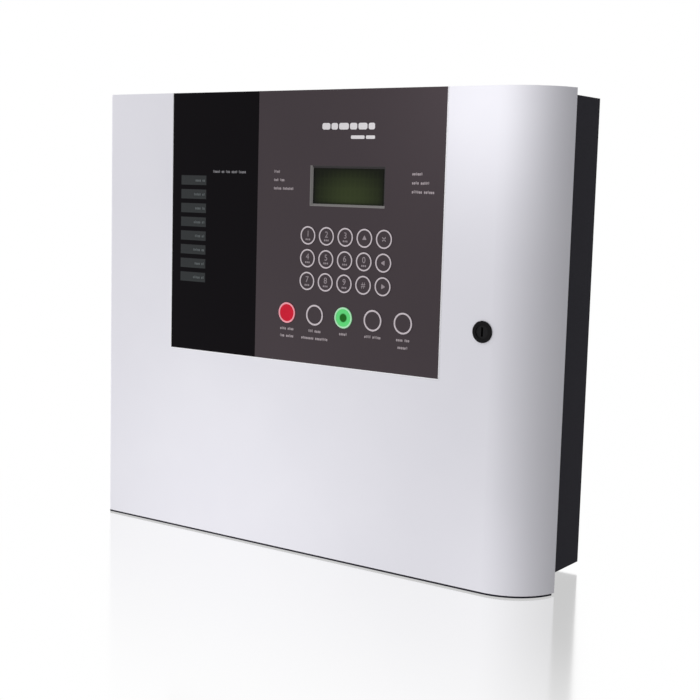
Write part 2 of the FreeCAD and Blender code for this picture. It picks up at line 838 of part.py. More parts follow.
def make_lcd_bezel():
    """Frame round the display whose face slopes back to the opening at 45 degrees."""
    outer_x, outer_z = display_width / 2 + display_bezel, display_height / 2 + display_bezel
    depth = panel_thickness
    frame = block(panel_middle_x - outer_x, panel_middle_x + outer_x, front_y, front_y + depth,
                  display_middle_z - outer_z, display_middle_z + outer_z)

    def rectangle(half_x, half_z, y):
        turns = ((-1, -1), (1, -1), (1, 1), (-1, 1), (-1, -1))
        return Part.makePolygon([
            Vector(panel_middle_x + side_x * half_x, y, display_middle_z + side_z * half_z)
            for side_x, side_z in turns])

    rim = display_bezel_rim
    funnel = Part.makeLoft([rectangle(outer_x - rim, outer_z - rim, front_y),
                            rectangle(display_width / 2, display_height / 2, front_y + depth)], True, True)
    return frame.cut(funnel)


def make_lcd_module():
    """Display module as four solids: a metal frame, the glass, a clear lens on it, and a board.

    The lens fills the frame's opening and ends just behind the bezel, so the display looks flush.
    """
    front = fascia_rear_y + lcd_frame_gap
    rear = front + lcd_frame_depth

    def around(margin_x, margin_z, y0, y1):
        """A block round the display's middle, larger than its window by the margins."""
        half_x, half_z = display_width / 2 + margin_x, display_height / 2 + margin_z
        return block(panel_middle_x - half_x, panel_middle_x + half_x, y0, y1,
                     display_middle_z - half_z, display_middle_z + half_z)

    inner = lcd_frame_margin - lcd_frame_sheet
    frame = around(lcd_frame_margin, lcd_frame_margin, front, rear)
    opening = around(lcd_frame_face, lcd_frame_face, front, front + lcd_frame_face)
    inside = around(inner, inner, front + lcd_frame_face, rear)
    glass = around(inner - lcd_glass_gap, inner - lcd_glass_gap, front + lcd_glass_recess, rear)
    lens_margin = lcd_frame_face - lcd_glass_gap
    lens = around(lens_margin, lens_margin, fascia_front_y + lcd_lens_gap, front + lcd_glass_recess)
    board = around(lcd_board_margin_x, lcd_board_margin_z, rear, rear + board_thickness)
    return [frame.cut([opening, inside]), glass, lens, board]


def make_display_board():
    """Circuit board behind the fascia."""
    board = block(display_board_left_x, display_board_right_x, display_board_y,
                  display_board_y + board_thickness, display_board_bottom_z, display_board_top_z)
    return board.cut([rod_y(x, z, screw_hole_radius, display_board_y, display_board_y + board_thickness)
                      for x, z in display_board_screw_places()])


def make_sounder():
    """Round sounder on the back of the display board, with its sound hole facing the box."""
    front = display_board_y + board_thickness
    rear = front + sounder_height
    x, z = display_board_left_x + sounder_from_left, display_board_bottom_z + sounder_from_bottom
    return rod_y(x, z, sounder_radius, front, rear).cut(
        rod_y(x, z, sounder_hole_radius, rear - sounder_hole_depth, rear))


# ---------------------------------------------------------------- lock

def make_lock_housing():
    """Threaded barrel with a round bezel in front of the door."""
    rear = cam_front_y - lock_shank_end_gap
    bezel = rod_y(lock_x, lock_z, lock_bezel_radius, front_y - lock_bezel_height, front_y)
    bezel = bezel.makeChamfer(lock_bezel_chamfer, edges_at_y(bezel, front_y - lock_bezel_height))
    shank = rod_y(lock_x, lock_z, lock_shank_radius, front_y, rear)
    bore = rod_y(lock_x, lock_z, lock_plug_radius + lock_running_gap, front_y - lock_bezel_height, rear)
    return bezel.fuse(shank).cut(bore)


def make_lock_nut():
    """Thin nut that clamps the lock to the door, small enough to sit on its flat part."""
    front = door_inner_y
    across_flats = 2 * (lock_shank_radius + lock_nut_wall)
    nut = hexagon_y(lock_x, lock_z, across_flats, front, front + lock_nut_thickness)
    return nut.cut(rod_y(lock_x, lock_z, lock_shank_radius, front, front + lock_nut_thickness))


def make_lock_plug():
    """Turning plug with a keyway in its face and a tip that carries the cam."""
    face = front_y - lock_bezel_height + lock_plug_recess
    plug = rod_y(lock_x, lock_z, lock_plug_radius, face, cam_front_y)
    tip = rod_y(lock_x, lock_z, lock_tip_radius, cam_front_y, cam_rear_y)
    keyway = block(lock_x - keyway_width / 2, lock_x + keyway_width / 2, face, face + keyway_depth,
                   lock_z - keyway_length / 2, lock_z + keyway_length / 2)
    thread_start = cam_rear_y - cam_bolt_length - thread_end_wall
    thread = rod_y(lock_x, lock_z, screw_thread_radius, thread_start, cam_rear_y)
    return plug.fuse(tip).cut([keyway, thread])


def make_lock_cam():
    """Flat arm that hangs down when the door is unlocked."""
    half = lock_cam_width / 2
    arm = block(lock_x - half, lock_x + half, cam_front_y, cam_rear_y,
                lock_z - lock_cam_reach + half, lock_z)
    ends = [rod_y(lock_x, lock_z, half, cam_front_y, cam_rear_y),
            rod_y(lock_x, lock_z - lock_cam_reach + half, half, cam_front_y, cam_rear_y)]
    return arm.fuse(ends).cut(rod_y(lock_x, lock_z, lock_tip_radius, cam_front_y, cam_rear_y))


def make_cam_bolt():
    """Bolt that holds the cam on the plug, with its washer made in one with it."""
    return screw_from_rear(lock_x, lock_z, cam_rear_y, cam_bolt_length).fuse(
        rod_y(lock_x, lock_z, lock_washer_radius, cam_rear_y, cam_rear_y + lock_washer_thickness))


# ---------------------------------------------------------------- control board

def main_board_pillar_places():
    middle = (main_board_left + main_board_right) / 2
    xs = (main_board_left + pillar_inset, middle, main_board_right - pillar_inset)
    zs = (main_board_bottom + pillar_inset, main_board_top - pillar_upper_drop)
    return [(x, z) for x in xs for z in zs]


def make_main_board():
    board = block(main_board_left, main_board_right, board_front_y, board_front_y + board_thickness,
                  main_board_bottom, main_board_top)
    return board.cut([rod_y(x, z, screw_hole_radius, board_front_y, board_front_y + board_thickness)
                      for x, z in main_board_pillar_places()])


def supply_pillar_places():
    inset = supply_screw_inset
    return [(x, z) for x in (supply_left + inset, supply_right - inset)
            for z in (supply_bottom + inset, supply_top - inset)]


def make_board_pillars():
    """Pillars under both boards, threaded for their screws."""
    pillars = []
    for places, length in ((main_board_pillar_places(), pillar_length),
                           (supply_pillar_places(), supply_pillar_length)):
        for x, z in places:
            pillar = hexagon_y(x, z, pillar_across_flats, box_inner_y - length, box_inner_y)
            thread = rod_y(x, z, screw_thread_radius, box_inner_y - length, box_inner_y - thread_end_wall)
            pillars.append(pillar.cut(thread))
    return pillars


def terminal_strip(x, z, poles, front):
    """A row of screw terminals that stands out from a board, with wire ports in its lower face."""
    body = block(x, x + poles * terminal_pitch, front - terminal_depth, front, z, z + terminal_height)
    face = front - terminal_depth
    port_rear = front - terminal_port_from_board
    half = terminal_port_side / 2
    cuts = []
    for pole in range(poles):
        middle = x + (pole + 0.5) * terminal_pitch
        cuts.append(rod_y(middle, z + terminal_height / 2, terminal_screw_radius, face,
                          face + terminal_screw_depth))
        cuts.append(block(middle - half, middle + half, port_rear - terminal_port_side, port_rear,
                          z, z + terminal_port_depth))
    return body.cut(cuts)


def make_field_terminals():
    """As many strips for the field wiring as the board's top edge has room for."""
    start = main_board_left + terminal_first_inset
    width = terminal_poles * terminal_pitch
    step = width + terminal_strip_gap
    count = int((main_board_right - terminal_first_inset - start + terminal_strip_gap) / step)
    z = main_board_top - terminal_edge_gap - terminal_height
    return [terminal_strip(start + index * step, z, terminal_poles, board_front_y) for index in range(count)]


def on_board(x, z, size, front):
    """A block of a size along X, Z and out from the board, with its lower left corner at x and z."""
    return block(x, x + size[0], front - size[2], front, z, z + size[1])


def make_board_components():
    """Relays, capacitors, chips and the processor on the control board."""
    front = board_front_y
    left, top = main_board_left, main_board_top
    relays = [on_board(left + relay_inset + index * relay_pitch, top - relay_drop, relay_size, front)
              for index in range(relay_count)]
    cans = [rod_y(left + can_inset + index * can_pitch, top - can_drop, can_radius,
                  front - can_height, front) for index in range(can_count)]
    chips = [on_board(left + inset, top - drop, chip_size, front)
             for inset in chip_insets for drop in chip_drops]
    processor = on_board(left + processor_inset, top - processor_drop, processor_size, front)
    reservoir = rod_y(main_board_right - reservoir_from_right, main_board_bottom + reservoir_above,
                      reservoir_radius, front - reservoir_height, front)
    return relays + cans + chips + [processor, reservoir]


def battery_terminal_x():
    return main_board_right - battery_terminal_from_right


def make_board_connectors():
    """The terminal that the batteries' leads enter, and an open header for the door's ribbon cable."""
    battery = terminal_strip(battery_terminal_x(), main_board_bottom + board_edge_inset, terminal_poles,
                             board_front_y)
    x, z = main_board_left + header_inset, main_board_bottom + header_above
    header = on_board(x, z, header_size, board_front_y)
    socket = block(x + header_wall, x + header_size[0] - header_wall, board_front_y - header_size[2],
                   board_front_y - header_floor, z + header_wall, z + header_size[1] - header_wall)
    return [battery, header.cut(socket)]


# ---------------------------------------------------------------- mains supply

def supply_foot_places():
    z_low, z_high = supply_bottom - supply_foot / 2, supply_top + supply_foot / 2
    inset = supply_foot_screw_inset
    return [(x, z) for x in (supply_left + inset, supply_right - inset) for z in (z_low, z_high)]


def make_supply_cover():
    """Ventilated sheet cover with a foot above and below."""
    front = box_inner_y - supply_cover_depth
    shell = block(supply_left, supply_right, front, box_inner_y, supply_bottom, supply_top)
    hollow = block(supply_left + supply_sheet, supply_right - supply_sheet, front + supply_sheet,
                   box_inner_y, supply_bottom + supply_sheet, supply_top - supply_sheet)
    feet = [block(supply_left, supply_right, box_inner_y - supply_sheet, box_inner_y,
                  supply_bottom - supply_foot, supply_bottom),
            block(supply_left, supply_right, box_inner_y - supply_sheet, box_inner_y,
                  supply_top, supply_top + supply_foot)]
    middle = (supply_left + supply_right) / 2
    rows = int((supply_top - supply_bottom - 2 * vent_margin) / vent_pitch) + 1
    slots = [slot_y(middle + side * vent_column_offset, supply_bottom + vent_margin + row * vent_pitch,
                    vent_length, vent_width, front, front + supply_sheet)
             for side in (-1, 1) for row in range(rows)]
    holes = [rod_y(x, z, screw_hole_radius, box_inner_y - supply_sheet, box_inner_y)
             for x, z in supply_foot_places()]
    return shell.cut(hollow).fuse(feet).cut(slots + holes)


def make_supply_board():
    """Circuit board under the supply's cover."""
    margin = supply_board_margin
    front, rear = supply_board_front_y, supply_board_front_y + board_thickness
    board = block(supply_left + margin, supply_right - margin, front, rear,
                  supply_bottom + margin, supply_top - margin)
    return board.cut([rod_y(x, z, screw_hole_radius, front, rear) for x, z in supply_pillar_places()])


def make_supply_components():
    """Transformer, heat sink and reservoir capacitors under the supply's cover."""
    front = supply_board_front_y
    middle = (supply_left + supply_right) / 2
    core_z = supply_bottom + core_above
    core = on_board(middle - core_size[0] / 2, core_z, core_size, front)
    winding = on_board(middle - winding_size[0] / 2, core_z + (core_size[1] - winding_size[1]) / 2,
                       winding_size, front)
    sink_x, sink_z = supply_left + heat_sink_inset, supply_top - heat_sink_drop
    sink = on_board(sink_x, sink_z, heat_sink_size, front)
    fin_step = (heat_sink_size[1] - 2 * fin_end_gap - fin_size[1]) / (fin_count - 1)
    fins = [on_board(sink_x + heat_sink_size[0], sink_z + fin_end_gap + index * fin_step, fin_size,
                     front - heat_sink_size[2] + fin_size[2]) for index in range(fin_count)]
    cans = [rod_y(middle + (index - (supply_can_count - 1) / 2) * supply_can_pitch,
                  supply_bottom + supply_can_above, supply_can_radius, front - supply_can_height, front)
            for index in range(supply_can_count)]
    return [core.fuse(winding), sink.fuse(fins)] + cans


def mains_x():
    return box_right_x - mains_from_right - (mains_poles * terminal_pitch)


def mains_z():
    return supply_top + mains_above_supply


def make_mains_terminal_block():
    """Mains terminals with a fuse holder at their right, on the rear wall of the box."""
    x, z = mains_x(), mains_z()
    strip = terminal_strip(x, z, mains_poles, box_inner_y)
    fuse_x = x + mains_poles * terminal_pitch
    front = box_inner_y - terminal_depth
    holder = block(fuse_x, fuse_x + mains_fuse_width, front, box_inner_y, z, z + terminal_height)
    socket = rod_y(fuse_x + mains_fuse_width / 2, z + terminal_height / 2, mains_fuse_radius, front,
                   front + mains_fuse_depth)
    return strip.fuse(holder).cut(socket)


def make_earth_stud():
    """Earth stud with a nut, a washer and a second nut, on the rear wall of the box."""
    x, z = mains_x() - earth_from_mains, mains_z() + terminal_height / 2
    stud = rod_y(x, z, earth_radius, box_inner_y - earth_length, box_inner_y)
    seat = box_inner_y - earth_nut_thickness
    lower = hexagon_y(x, z, earth_nut_across_flats, seat, box_inner_y)
    washer_seat = seat - earth_lug_gap
    washer = rod_y(x, z, earth_washer_radius, washer_seat - earth_washer_thickness, washer_seat)
    upper_seat = washer_seat - earth_washer_thickness
    upper = hexagon_y(x, z, earth_nut_across_flats, upper_seat - earth_nut_thickness, upper_seat)
    return stud.fuse([lower, washer, upper])


# ---------------------------------------------------------------- batteries

def make_battery(x):
    """Sealed block: a case and a lid that is set in a little round its edge."""
    lid_z = battery_top_z - battery_lid
    case = block(x, x + battery_width, battery_front_y, battery_rear_y, battery_bottom_z, lid_z)
    upright = [edge for edge in case.Edges if edge.BoundBox.ZLength > battery_height / 2]
    case = case.makeFillet(battery_corner_radius, upright)
    inset = battery_lid_set_in
    lid = block(x + inset, x + battery_width - inset, battery_front_y + inset, battery_rear_y - inset,
                lid_z, battery_top_z)
    return case.fuse(lid)


def tab_xs(start):
    """The middles of a battery's two tabs."""
    return start + tab_from_side, start + battery_width - tab_from_side


def make_battery_terminals():
    """Four push-on tabs, two on each battery."""
    half_x, half_y = tab_width / 2, tab_thickness / 2
    return [block(x - half_x, x + half_x, tab_y - half_y, tab_y + half_y,
                  battery_top_z, battery_top_z + tab_height)
            for start in battery_starts for x in tab_xs(start)]


def bracket_ends():
    right = battery_starts[1] + battery_width
    return battery_starts[0] - bracket_gap, right + bracket_gap


def bracket_middle_z():
    return (battery_bottom_z + battery_top_z) / 2


def bracket_foot_places():
    left, right = bracket_ends()
    reach = bracket_sheet + bracket_foot / 2
    return [(left - reach, bracket_middle_z()), (right + reach, bracket_middle_z())]


def make_battery_bracket():
    """Strap across the batteries' front, with a leg and a foot at each end."""
    left, right = bracket_ends()
    low, high = bracket_middle_z() - bracket_height / 2, bracket_middle_z() + bracket_height / 2
    front = battery_front_y - bracket_gap - bracket_sheet
    bar = block(left - bracket_sheet, right + bracket_sheet, front, front + bracket_sheet, low, high)
    legs = [block(left - bracket_sheet, left, front, box_inner_y, low, high),
            block(right, right + bracket_sheet, front, box_inner_y, low, high)]
    foot_front = box_inner_y - bracket_sheet
    feet = [block(left - bracket_sheet - bracket_foot, left, foot_front, box_inner_y, low, high),
            block(right, right + bracket_sheet + bracket_foot, foot_front, box_inner_y, low, high)]
    holes = [rod_y(x, z, screw_hole_radius, box_inner_y - bracket_sheet, box_inner_y)
             for x, z in bracket_foot_places()]
    return bar.fuse(legs + feet).cut(holes)


# ---------------------------------------------------------------- leads

def tube(points, radius):
    """A round lead along straight runs, with a tangent arc at each turn.

    Each arc's radius is 0.45 of the shorter of its two runs, divided by the tangent of half the turn.
    """
    points = [Vector(*p) for p in points]
    edges = []
    here = points[0]
    for before, corner, after in zip(points, points[1:], points[2:]):
        into = (corner - before).normalize()
        out = (after - corner).normalize()
        turn = math.acos(max(-1.0, min(1.0, into.dot(out))))
        reach = 0.45 * min(corner.distanceToPoint(before), corner.distanceToPoint(after))
        bend = reach / math.tan(turn / 2)
        start, end = corner - into * reach, corner + out * reach
        bisector = (out - into).normalize()
        middle = corner + bisector * (bend / math.cos(turn / 2) - bend)
        edges.append(Part.LineSegment(here, start).toShape())
        edges.append(Part.Arc(start, middle, end).toShape())
        here = end
    edges.append(Part.LineSegment(here, points[-1]).toShape())
    path = Part.Wire(edges)
    ring = Part.Wire(Part.Circle(points[0], points[1] - points[0], radius).toShape())
    return path.makePipeShell([ring], True, True)


def make_battery_leads():
    """Positive and negative leads to the control board, and the link between the batteries.

    Each route is a list of points chosen by hand: places out from the tab it starts at, then places before
    the port that it ends in.
    """
    top = battery_top_z + tab_height
    ports = [battery_terminal_x() + (pole + 0.5) * terminal_pitch for pole in range(terminal_poles)]
    port_y = board_front_y - terminal_port_from_board - terminal_port_side / 2
    port_z = main_board_bottom + board_edge_inset
    positive_x, link_start_x = tab_xs(battery_starts[0])
    link_end_x, negative_x = tab_xs(battery_starts[1])
    positive = [(positive_x, tab_y, top), (positive_x, tab_y, top + 7),
                (positive_x + 12, tab_y + 8, top + 12),
                (positive_x + 60, tab_y + 16, top + 10), (positive_x + 110, tab_y + 22, top + 13),
                (ports[0] - 10, port_y - 6, top + 9), (ports[0], port_y, port_z - 8),
                (ports[0], port_y, port_z)]
    negative = [(negative_x, tab_y, top), (negative_x, tab_y, top + 7),
                (negative_x - 12, tab_y + 8, top + 12),
                (negative_x - 45, tab_y + 18, top + 9), (ports[-1] + 14, port_y - 8, top + 10),
                (ports[-1], port_y, port_z - 8), (ports[-1], port_y, port_z)]
    link = [(link_start_x, tab_y, top), (link_start_x, tab_y, top + 7),
            (link_start_x + 10, tab_y - 1, top + 12), (link_end_x - 10, tab_y - 1, top + 12.5),
            (link_end_x, tab_y, top + 7), (link_end_x, tab_y, top)]
    return [tube(route, lead_radius) for route in (positive, negative, link)]


# ---------------------------------------------------------------- fasteners

def make_chassis_fasteners():
    """Screws of the hinges, both boards, the supply's cover and the battery bracket."""
    screws = [side_screw(y, z, box_left_x - hinge_leaf, 1, hinge_screw_length)
              for y, z in hinge_screw_places()]
    screws += [screw_from_front(x, z, board_front_y, board_screw_length)
               for x, z in main_board_pillar_places()]
    screws += [screw_from_front(x, z, supply_board_front_y, board_thickness + supply_screw_length)
               for x, z in supply_pillar_places()]
    screws += [screw_from_front(x, z, box_inner_y - supply_sheet, supply_sheet + box_sheet)
               for x, z in supply_foot_places()]
    screws += [screw_from_front(x, z, box_inner_y - bracket_sheet, bracket_sheet + box_sheet)
               for x, z in bracket_foot_places()]
    return screws


def make_door_fasteners():
    """Screws of the hinges and the display board, and the nuts that hold the fascia."""
    leaf_x = door_left_x + door_sheet + hinge_leaf
    found = [side_screw(y, z, leaf_x, -1, hinge_leaf + door_sheet) for y, z in door_hinge_screw_places()]
    found += [screw_from_rear(x, z, display_board_y + board_thickness, board_thickness + board_screw_length)
              for x, z in display_board_screw_places()]
    for x, z in fascia_stud_places():
        nut = hexagon_y(x, z, nut_across_flats, fascia_rear_y, fascia_rear_y + nut_thickness)
        found.append(nut.cut(rod_y(x, z, fascia_stud_radius, fascia_rear_y, fascia_rear_y + nut_thickness)))
    return found


# ---------------------------------------------------------------- build

def build():
    os.makedirs("parts", exist_ok=True)
    save("back_box", make_back_box())
    save("cable_bushes", *make_cable_bushes())
    save("blanking_plugs", *make_blanking_plugs())
    save("box_hinge_leaves", *make_box_hinge_leaves())
    save("hinge_pins", *make_hinge_pins())
    save("main_board", make_main_board())
    save("board_pillars", *make_board_pillars())
    save("chassis_fasteners", *make_chassis_fasteners())
    save("field_terminals", *make_field_terminals())
    save("board_components", *make_board_components())
    save("board_connectors", *make_board_connectors())
    save("supply_cover", make_supply_cover())
    save("supply_board", make_supply_board())
    save("supply_components", *make_supply_components())
    save("mains_terminal_block", make_mains_terminal_block())
    save("earth_stud", make_earth_stud())
    save("battery_left", make_battery(battery_starts[0]))
    save("battery_right", make_battery(battery_starts[1]))
    save("battery_terminals", *make_battery_terminals())
    save("battery_bracket", make_battery_bracket())
    save("battery_leads", *make_battery_leads())

    save("door_shell", make_door_shell())
    save("bottom_trim", make_bottom_trim())
    save("door_hinge_leaves", *make_door_hinge_leaves())
    save("door_fasteners", *make_door_fasteners())
    save("fascia_base", make_fascia_base())
    save("keypad_panel", make_keypad_panel())
    save("zone_window", make_zone_window())
    save("zone_label_card", make_zone_label_card())
    save("zone_light_pipes", make_zone_light_pipes())
    save("lcd_bezel", make_lcd_bezel())
    save("lcd_module", *make_lcd_module())
    save("display_board", make_display_board())
    save("key_switches", *make_key_switches())
    save("sounder", make_sounder())
    save("lock_housing", make_lock_housing())
    save("lock_nut", make_lock_nut())

    save("lock_plug", make_lock_plug())
    save("lock_cam", make_lock_cam())
    save("cam_bolt", make_cam_bolt())

    for name, x, z, radius in all_keys():
        save(name, make_key(x, z, radius))


build()
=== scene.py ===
# %% [markdown]
# # A fire alarm control panel
#
# The panel is a dark steel box on a wall, with a white steel door over its front. A dark fascia fills a
# notch in the door and carries a display, fifteen small keys and five buttons. Its shape comes from a CAD
# model that is loaded first and never changed. This script adds what the CAD leaves out: print, raised
# rings, the painted edge of the notch, and a finish for every surface.

# %% Load the frame
import math

import bpy
import numpy as np
from mathutils import Matrix, Vector


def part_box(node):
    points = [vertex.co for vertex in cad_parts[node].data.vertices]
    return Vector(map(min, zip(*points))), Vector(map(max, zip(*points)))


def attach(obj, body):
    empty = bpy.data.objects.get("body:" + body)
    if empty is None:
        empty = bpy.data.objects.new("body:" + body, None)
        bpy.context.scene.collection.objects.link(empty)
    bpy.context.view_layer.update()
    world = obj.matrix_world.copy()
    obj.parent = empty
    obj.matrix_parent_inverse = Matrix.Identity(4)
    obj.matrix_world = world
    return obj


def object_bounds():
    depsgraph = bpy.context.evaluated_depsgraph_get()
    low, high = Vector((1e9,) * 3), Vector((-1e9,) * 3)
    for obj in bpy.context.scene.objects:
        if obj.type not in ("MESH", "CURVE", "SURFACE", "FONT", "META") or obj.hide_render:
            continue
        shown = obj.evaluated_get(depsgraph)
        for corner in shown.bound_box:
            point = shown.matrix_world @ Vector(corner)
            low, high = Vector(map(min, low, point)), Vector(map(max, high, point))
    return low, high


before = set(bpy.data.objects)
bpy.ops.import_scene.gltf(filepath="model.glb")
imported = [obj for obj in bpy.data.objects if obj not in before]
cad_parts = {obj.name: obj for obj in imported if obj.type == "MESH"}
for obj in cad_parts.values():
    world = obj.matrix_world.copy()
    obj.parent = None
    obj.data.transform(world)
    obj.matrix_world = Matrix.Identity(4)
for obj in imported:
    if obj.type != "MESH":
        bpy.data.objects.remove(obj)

cad_low, cad_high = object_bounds()
mm = 0.001
print("panel size in mm:", [round((high - low) / mm, 1) for low, high in zip(cad_low, cad_high)])

# %% [markdown]
# ## Places
#
# Everything that is added sits on a CAD piece, so its place is read from that piece's box. X runs to the
# right, Y runs from the front to the wall and Z runs up. Reading the boxes once, by name, keeps the numbers
# below few, and it keeps the print in place if the CAD is made to another size.

# %% Read the boxes that the print and the rings sit on
def edges(node):
    """Left, right, front, rear, bottom and top of a CAD piece."""
    low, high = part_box(node)
    return low[0], high[0], low[1], high[1], low[2], high[2]


panel_left, panel_right, panel_face, _, panel_bottom, panel_top = edges("keypad_panel")
window_left, _, window_face, _, _, _ = edges("zone_window")
display_left, display_right, _, _, display_bottom, display_top = edges("lcd_bezel")
middle_x = (display_left + display_right) / 2

small_keys = ["key_1", "key_2", "key_3", "key_up", "key_cancel",
              "key_4", "key_5", "key_6", "key_0", "key_left",
              "key_7", "key_8", "key_9", "key_hash", "key_right"]
buttons = ["alarm_button", "silence_button", "ok_button", "mute_button", "reset_button"]
key_flange = 0.7 * mm


def cap_of(node):
    """Centre, radius and front of a key's round cap, which is smaller than its box by its hidden flange."""
    left, right, front, _, bottom, top = edges(node)
    return (left + right) / 2, (bottom + top) / 2, (right - left) / 2 - key_flange, front


for sample in ("key_1", "ok_button"):
    print(sample, "cap radius:", round(cap_of(sample)[2] / mm, 2), "mm")

# %% [markdown]
# ## From points to a mesh
#
# Each new piece is a set of points worked out with numpy in one go. Modelling by hand, or with primitives
# and modifiers, would also do, but a formula says exactly what the shape is and stays sharp at any size.
# Two helpers turn arrays of points into closed meshes: one for a profile carried along a path, and one for
# thin flat plates.

# %% Mesh helpers
def new_piece(name, points, faces, body, smooth):
    """Puts points and faces into a mesh at the origin and lets the piece ride on a body."""
    mesh = bpy.data.meshes.new(name)
    mesh.from_pydata(np.asarray(points).reshape(-1, 3).tolist(), [], faces)
    mesh.validate()
    mesh.polygons.foreach_set("use_smooth", np.full(len(mesh.polygons), smooth))
    piece = bpy.data.objects.new(name, mesh)
    bpy.context.collection.objects.link(piece)
    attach(piece, body)
    return piece


def carried_profile(name, grid, body, closed_path):
    """A closed profile carried along a path.

    grid holds one profile per row. Neighbouring profiles are joined with quads. A closed path joins its
    last row to its first one, and an open path gets a flat face at each end.
    """
    rows, sides = grid.shape[:2]
    index = np.arange(rows * sides).reshape(rows, sides)
    following = np.roll(index, -1, axis=0)
    if not closed_path:
        index, following = index[:-1], following[:-1]
    quads = np.stack([index, np.roll(index, -1, axis=1), np.roll(following, -1, axis=1), following], axis=-1)
    faces = quads.reshape(-1, 4).tolist()
    if not closed_path:
        last = (rows - 1) * sides
        faces += [list(range(sides))[::-1], list(range(last, last + sides))]
    return new_piece(name, grid, faces, body, True)


def plates(name, outlines, front, rear, body):
    """Thin flat plates that face the front.

    outlines holds one closed outline per plate, as X and Z of points that run anticlockwise as seen from
    the front. Each plate is its outline at the front, the same outline at the rear, and the wall between
    them.
    """
    count, sides = outlines.shape[:2]
    ring = np.stack([outlines[..., 0], np.zeros((count, sides)), outlines[..., 1]], axis=-1)
    points = np.stack([ring + (0, front, 0), ring + (0, rear, 0)], axis=1)
    index = np.arange(count * 2 * sides).reshape(count, 2, sides)
    ahead, behind = index[:, 0], index[:, 1]
    walls = np.stack([ahead, behind, np.roll(behind, -1, axis=1), np.roll(ahead, -1, axis=1)], axis=-1)
    faces = walls.reshape(-1, 4).tolist() + ahead.tolist() + behind[:, ::-1].tolist()
    return new_piece(name, points, faces, body, False)


print("helpers: carried_profile, plates")

# %% [markdown]
# ## The rings round the keys
#
# On the real panel a thin pale ring is moulded or printed round each key. It could be painted by the key's
# material, but a raised bead catches the light along its crown, so it is modelled: a small ellipse carried
# round a circle, half sunk in the key's cap. Each ring rides on its own key and goes in with it.

# %% Rings
ring_steps, ring_sides = 72, 12
key_ring_width, key_ring_height = 1.1 * mm, 0.25 * mm
button_ring_width, button_ring_height = 1.3 * mm, 0.3 * mm


def ring_on(node, width, height):
    """A bead whose outer edge is the cap's edge.

    At angle a round the key and angle b round the bead, the distance from the key's centre is the circle's
    radius plus half the width times cos b, and the bead stands out from the cap by height times sin b.
    """
    x, z, radius, front = cap_of(node)
    a = np.linspace(0, 2 * np.pi, ring_steps, endpoint=False)[:, None]
    b = np.linspace(0, 2 * np.pi, ring_sides, endpoint=False)[None, :]
    out = radius - width / 2 + width / 2 * np.cos(b)
    y = front - height * np.sin(b) + 0 * a
    grid = np.stack([x + out * np.cos(a), y, z + out * np.sin(a)], axis=-1)
    return carried_profile(node + "_ring", grid, node, True)


key_rings = [ring_on(node, key_ring_width, key_ring_height) for node in small_keys]
button_rings = [ring_on(node, button_ring_width, button_ring_height) for node in buttons]
print("rings:", len(key_rings) + len(button_rings))

# %% [markdown]
# ## The legends on the keys
#
# The keys carry numbers, three arrows, a cross and a hash, in ink that is only a little paler than the key.
# Under each number is a line of print too small to read, drawn as three blocks. The numbers come from
# Blender's own typeface, because the outline of a number has no short formula. They are made a mesh while
# they lie flat and are then stood upright on the key. The arrows and the cross are outlines in polar form.

# %% Legends
ink_height = 0.05 * mm
legend_size = 6.2 * mm
number_rise = 1.0 * mm
small_print_drop, small_print_step = 2.9 * mm, 1.5 * mm
small_print_length, small_print_width = 1.1 * mm, 1.3 * mm
cross_length, cross_width = 4.0 * mm, 0.7 * mm
arrow_reach = 2.2 * mm
upright = Matrix.Rotation(math.radians(90), 4, "X")


def letter(name, text, size, x, z, face, body):
    """One character, standing on a face that looks to the front."""
    curve = bpy.data.curves.new(name, "FONT")
    curve.body = text
    curve.size = size
    curve.align_x = "CENTER"
    curve.align_y = "CENTER"
    curve.extrude = ink_height
    flat = bpy.data.objects.new(name + "_flat", curve)
    bpy.context.collection.objects.link(flat)
    mesh = bpy.data.meshes.new_from_object(flat.evaluated_get(bpy.context.evaluated_depsgraph_get()))
    bpy.data.objects.remove(flat)
    mesh.transform(Matrix.Translation((x, face, z)) @ upright)
    mesh.name = name
    piece = bpy.data.objects.new(name, mesh)
    bpy.context.collection.objects.link(piece)
    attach(piece, body)
    return piece


def triangle(x, z, reach, turn):
    """A triangle with soft corners.

    Its radius at angle a is the distance to the flat side of a regular triangle, held below the reach so
    that the corners are cut round. turn is the angle that it points to.
    """
    a = np.linspace(0, 2 * np.pi, 48, endpoint=False)
    to_side = reach / 2 / np.cos((a + np.pi / 3) % (2 * np.pi / 3) - np.pi / 3)
    radius = np.minimum(to_side, reach * 0.86)
    return np.stack([x + radius * np.cos(a + turn + np.pi), z + radius * np.sin(a + turn + np.pi)], axis=-1)


def bar(x, z, length, width, turn=0.0):
    """A bar with soft corners, made from a circle.

    Each corner is a quarter of a circle whose radius is a third of the bar's width, moved out to the corner
    that it belongs to. The whole is then turned.
    """
    a = np.linspace(0, 2 * np.pi, 32, endpoint=False) + np.pi / 32
    radius = width / 3
    along = np.sign(np.cos(a)) * (length / 2 - radius) + radius * np.cos(a)
    across = np.sign(np.sin(a)) * (width / 2 - radius) + radius * np.sin(a)
    return np.stack([x + along * np.cos(turn) - across * np.sin(turn),
                     z + along * np.sin(turn) + across * np.cos(turn)], axis=-1)


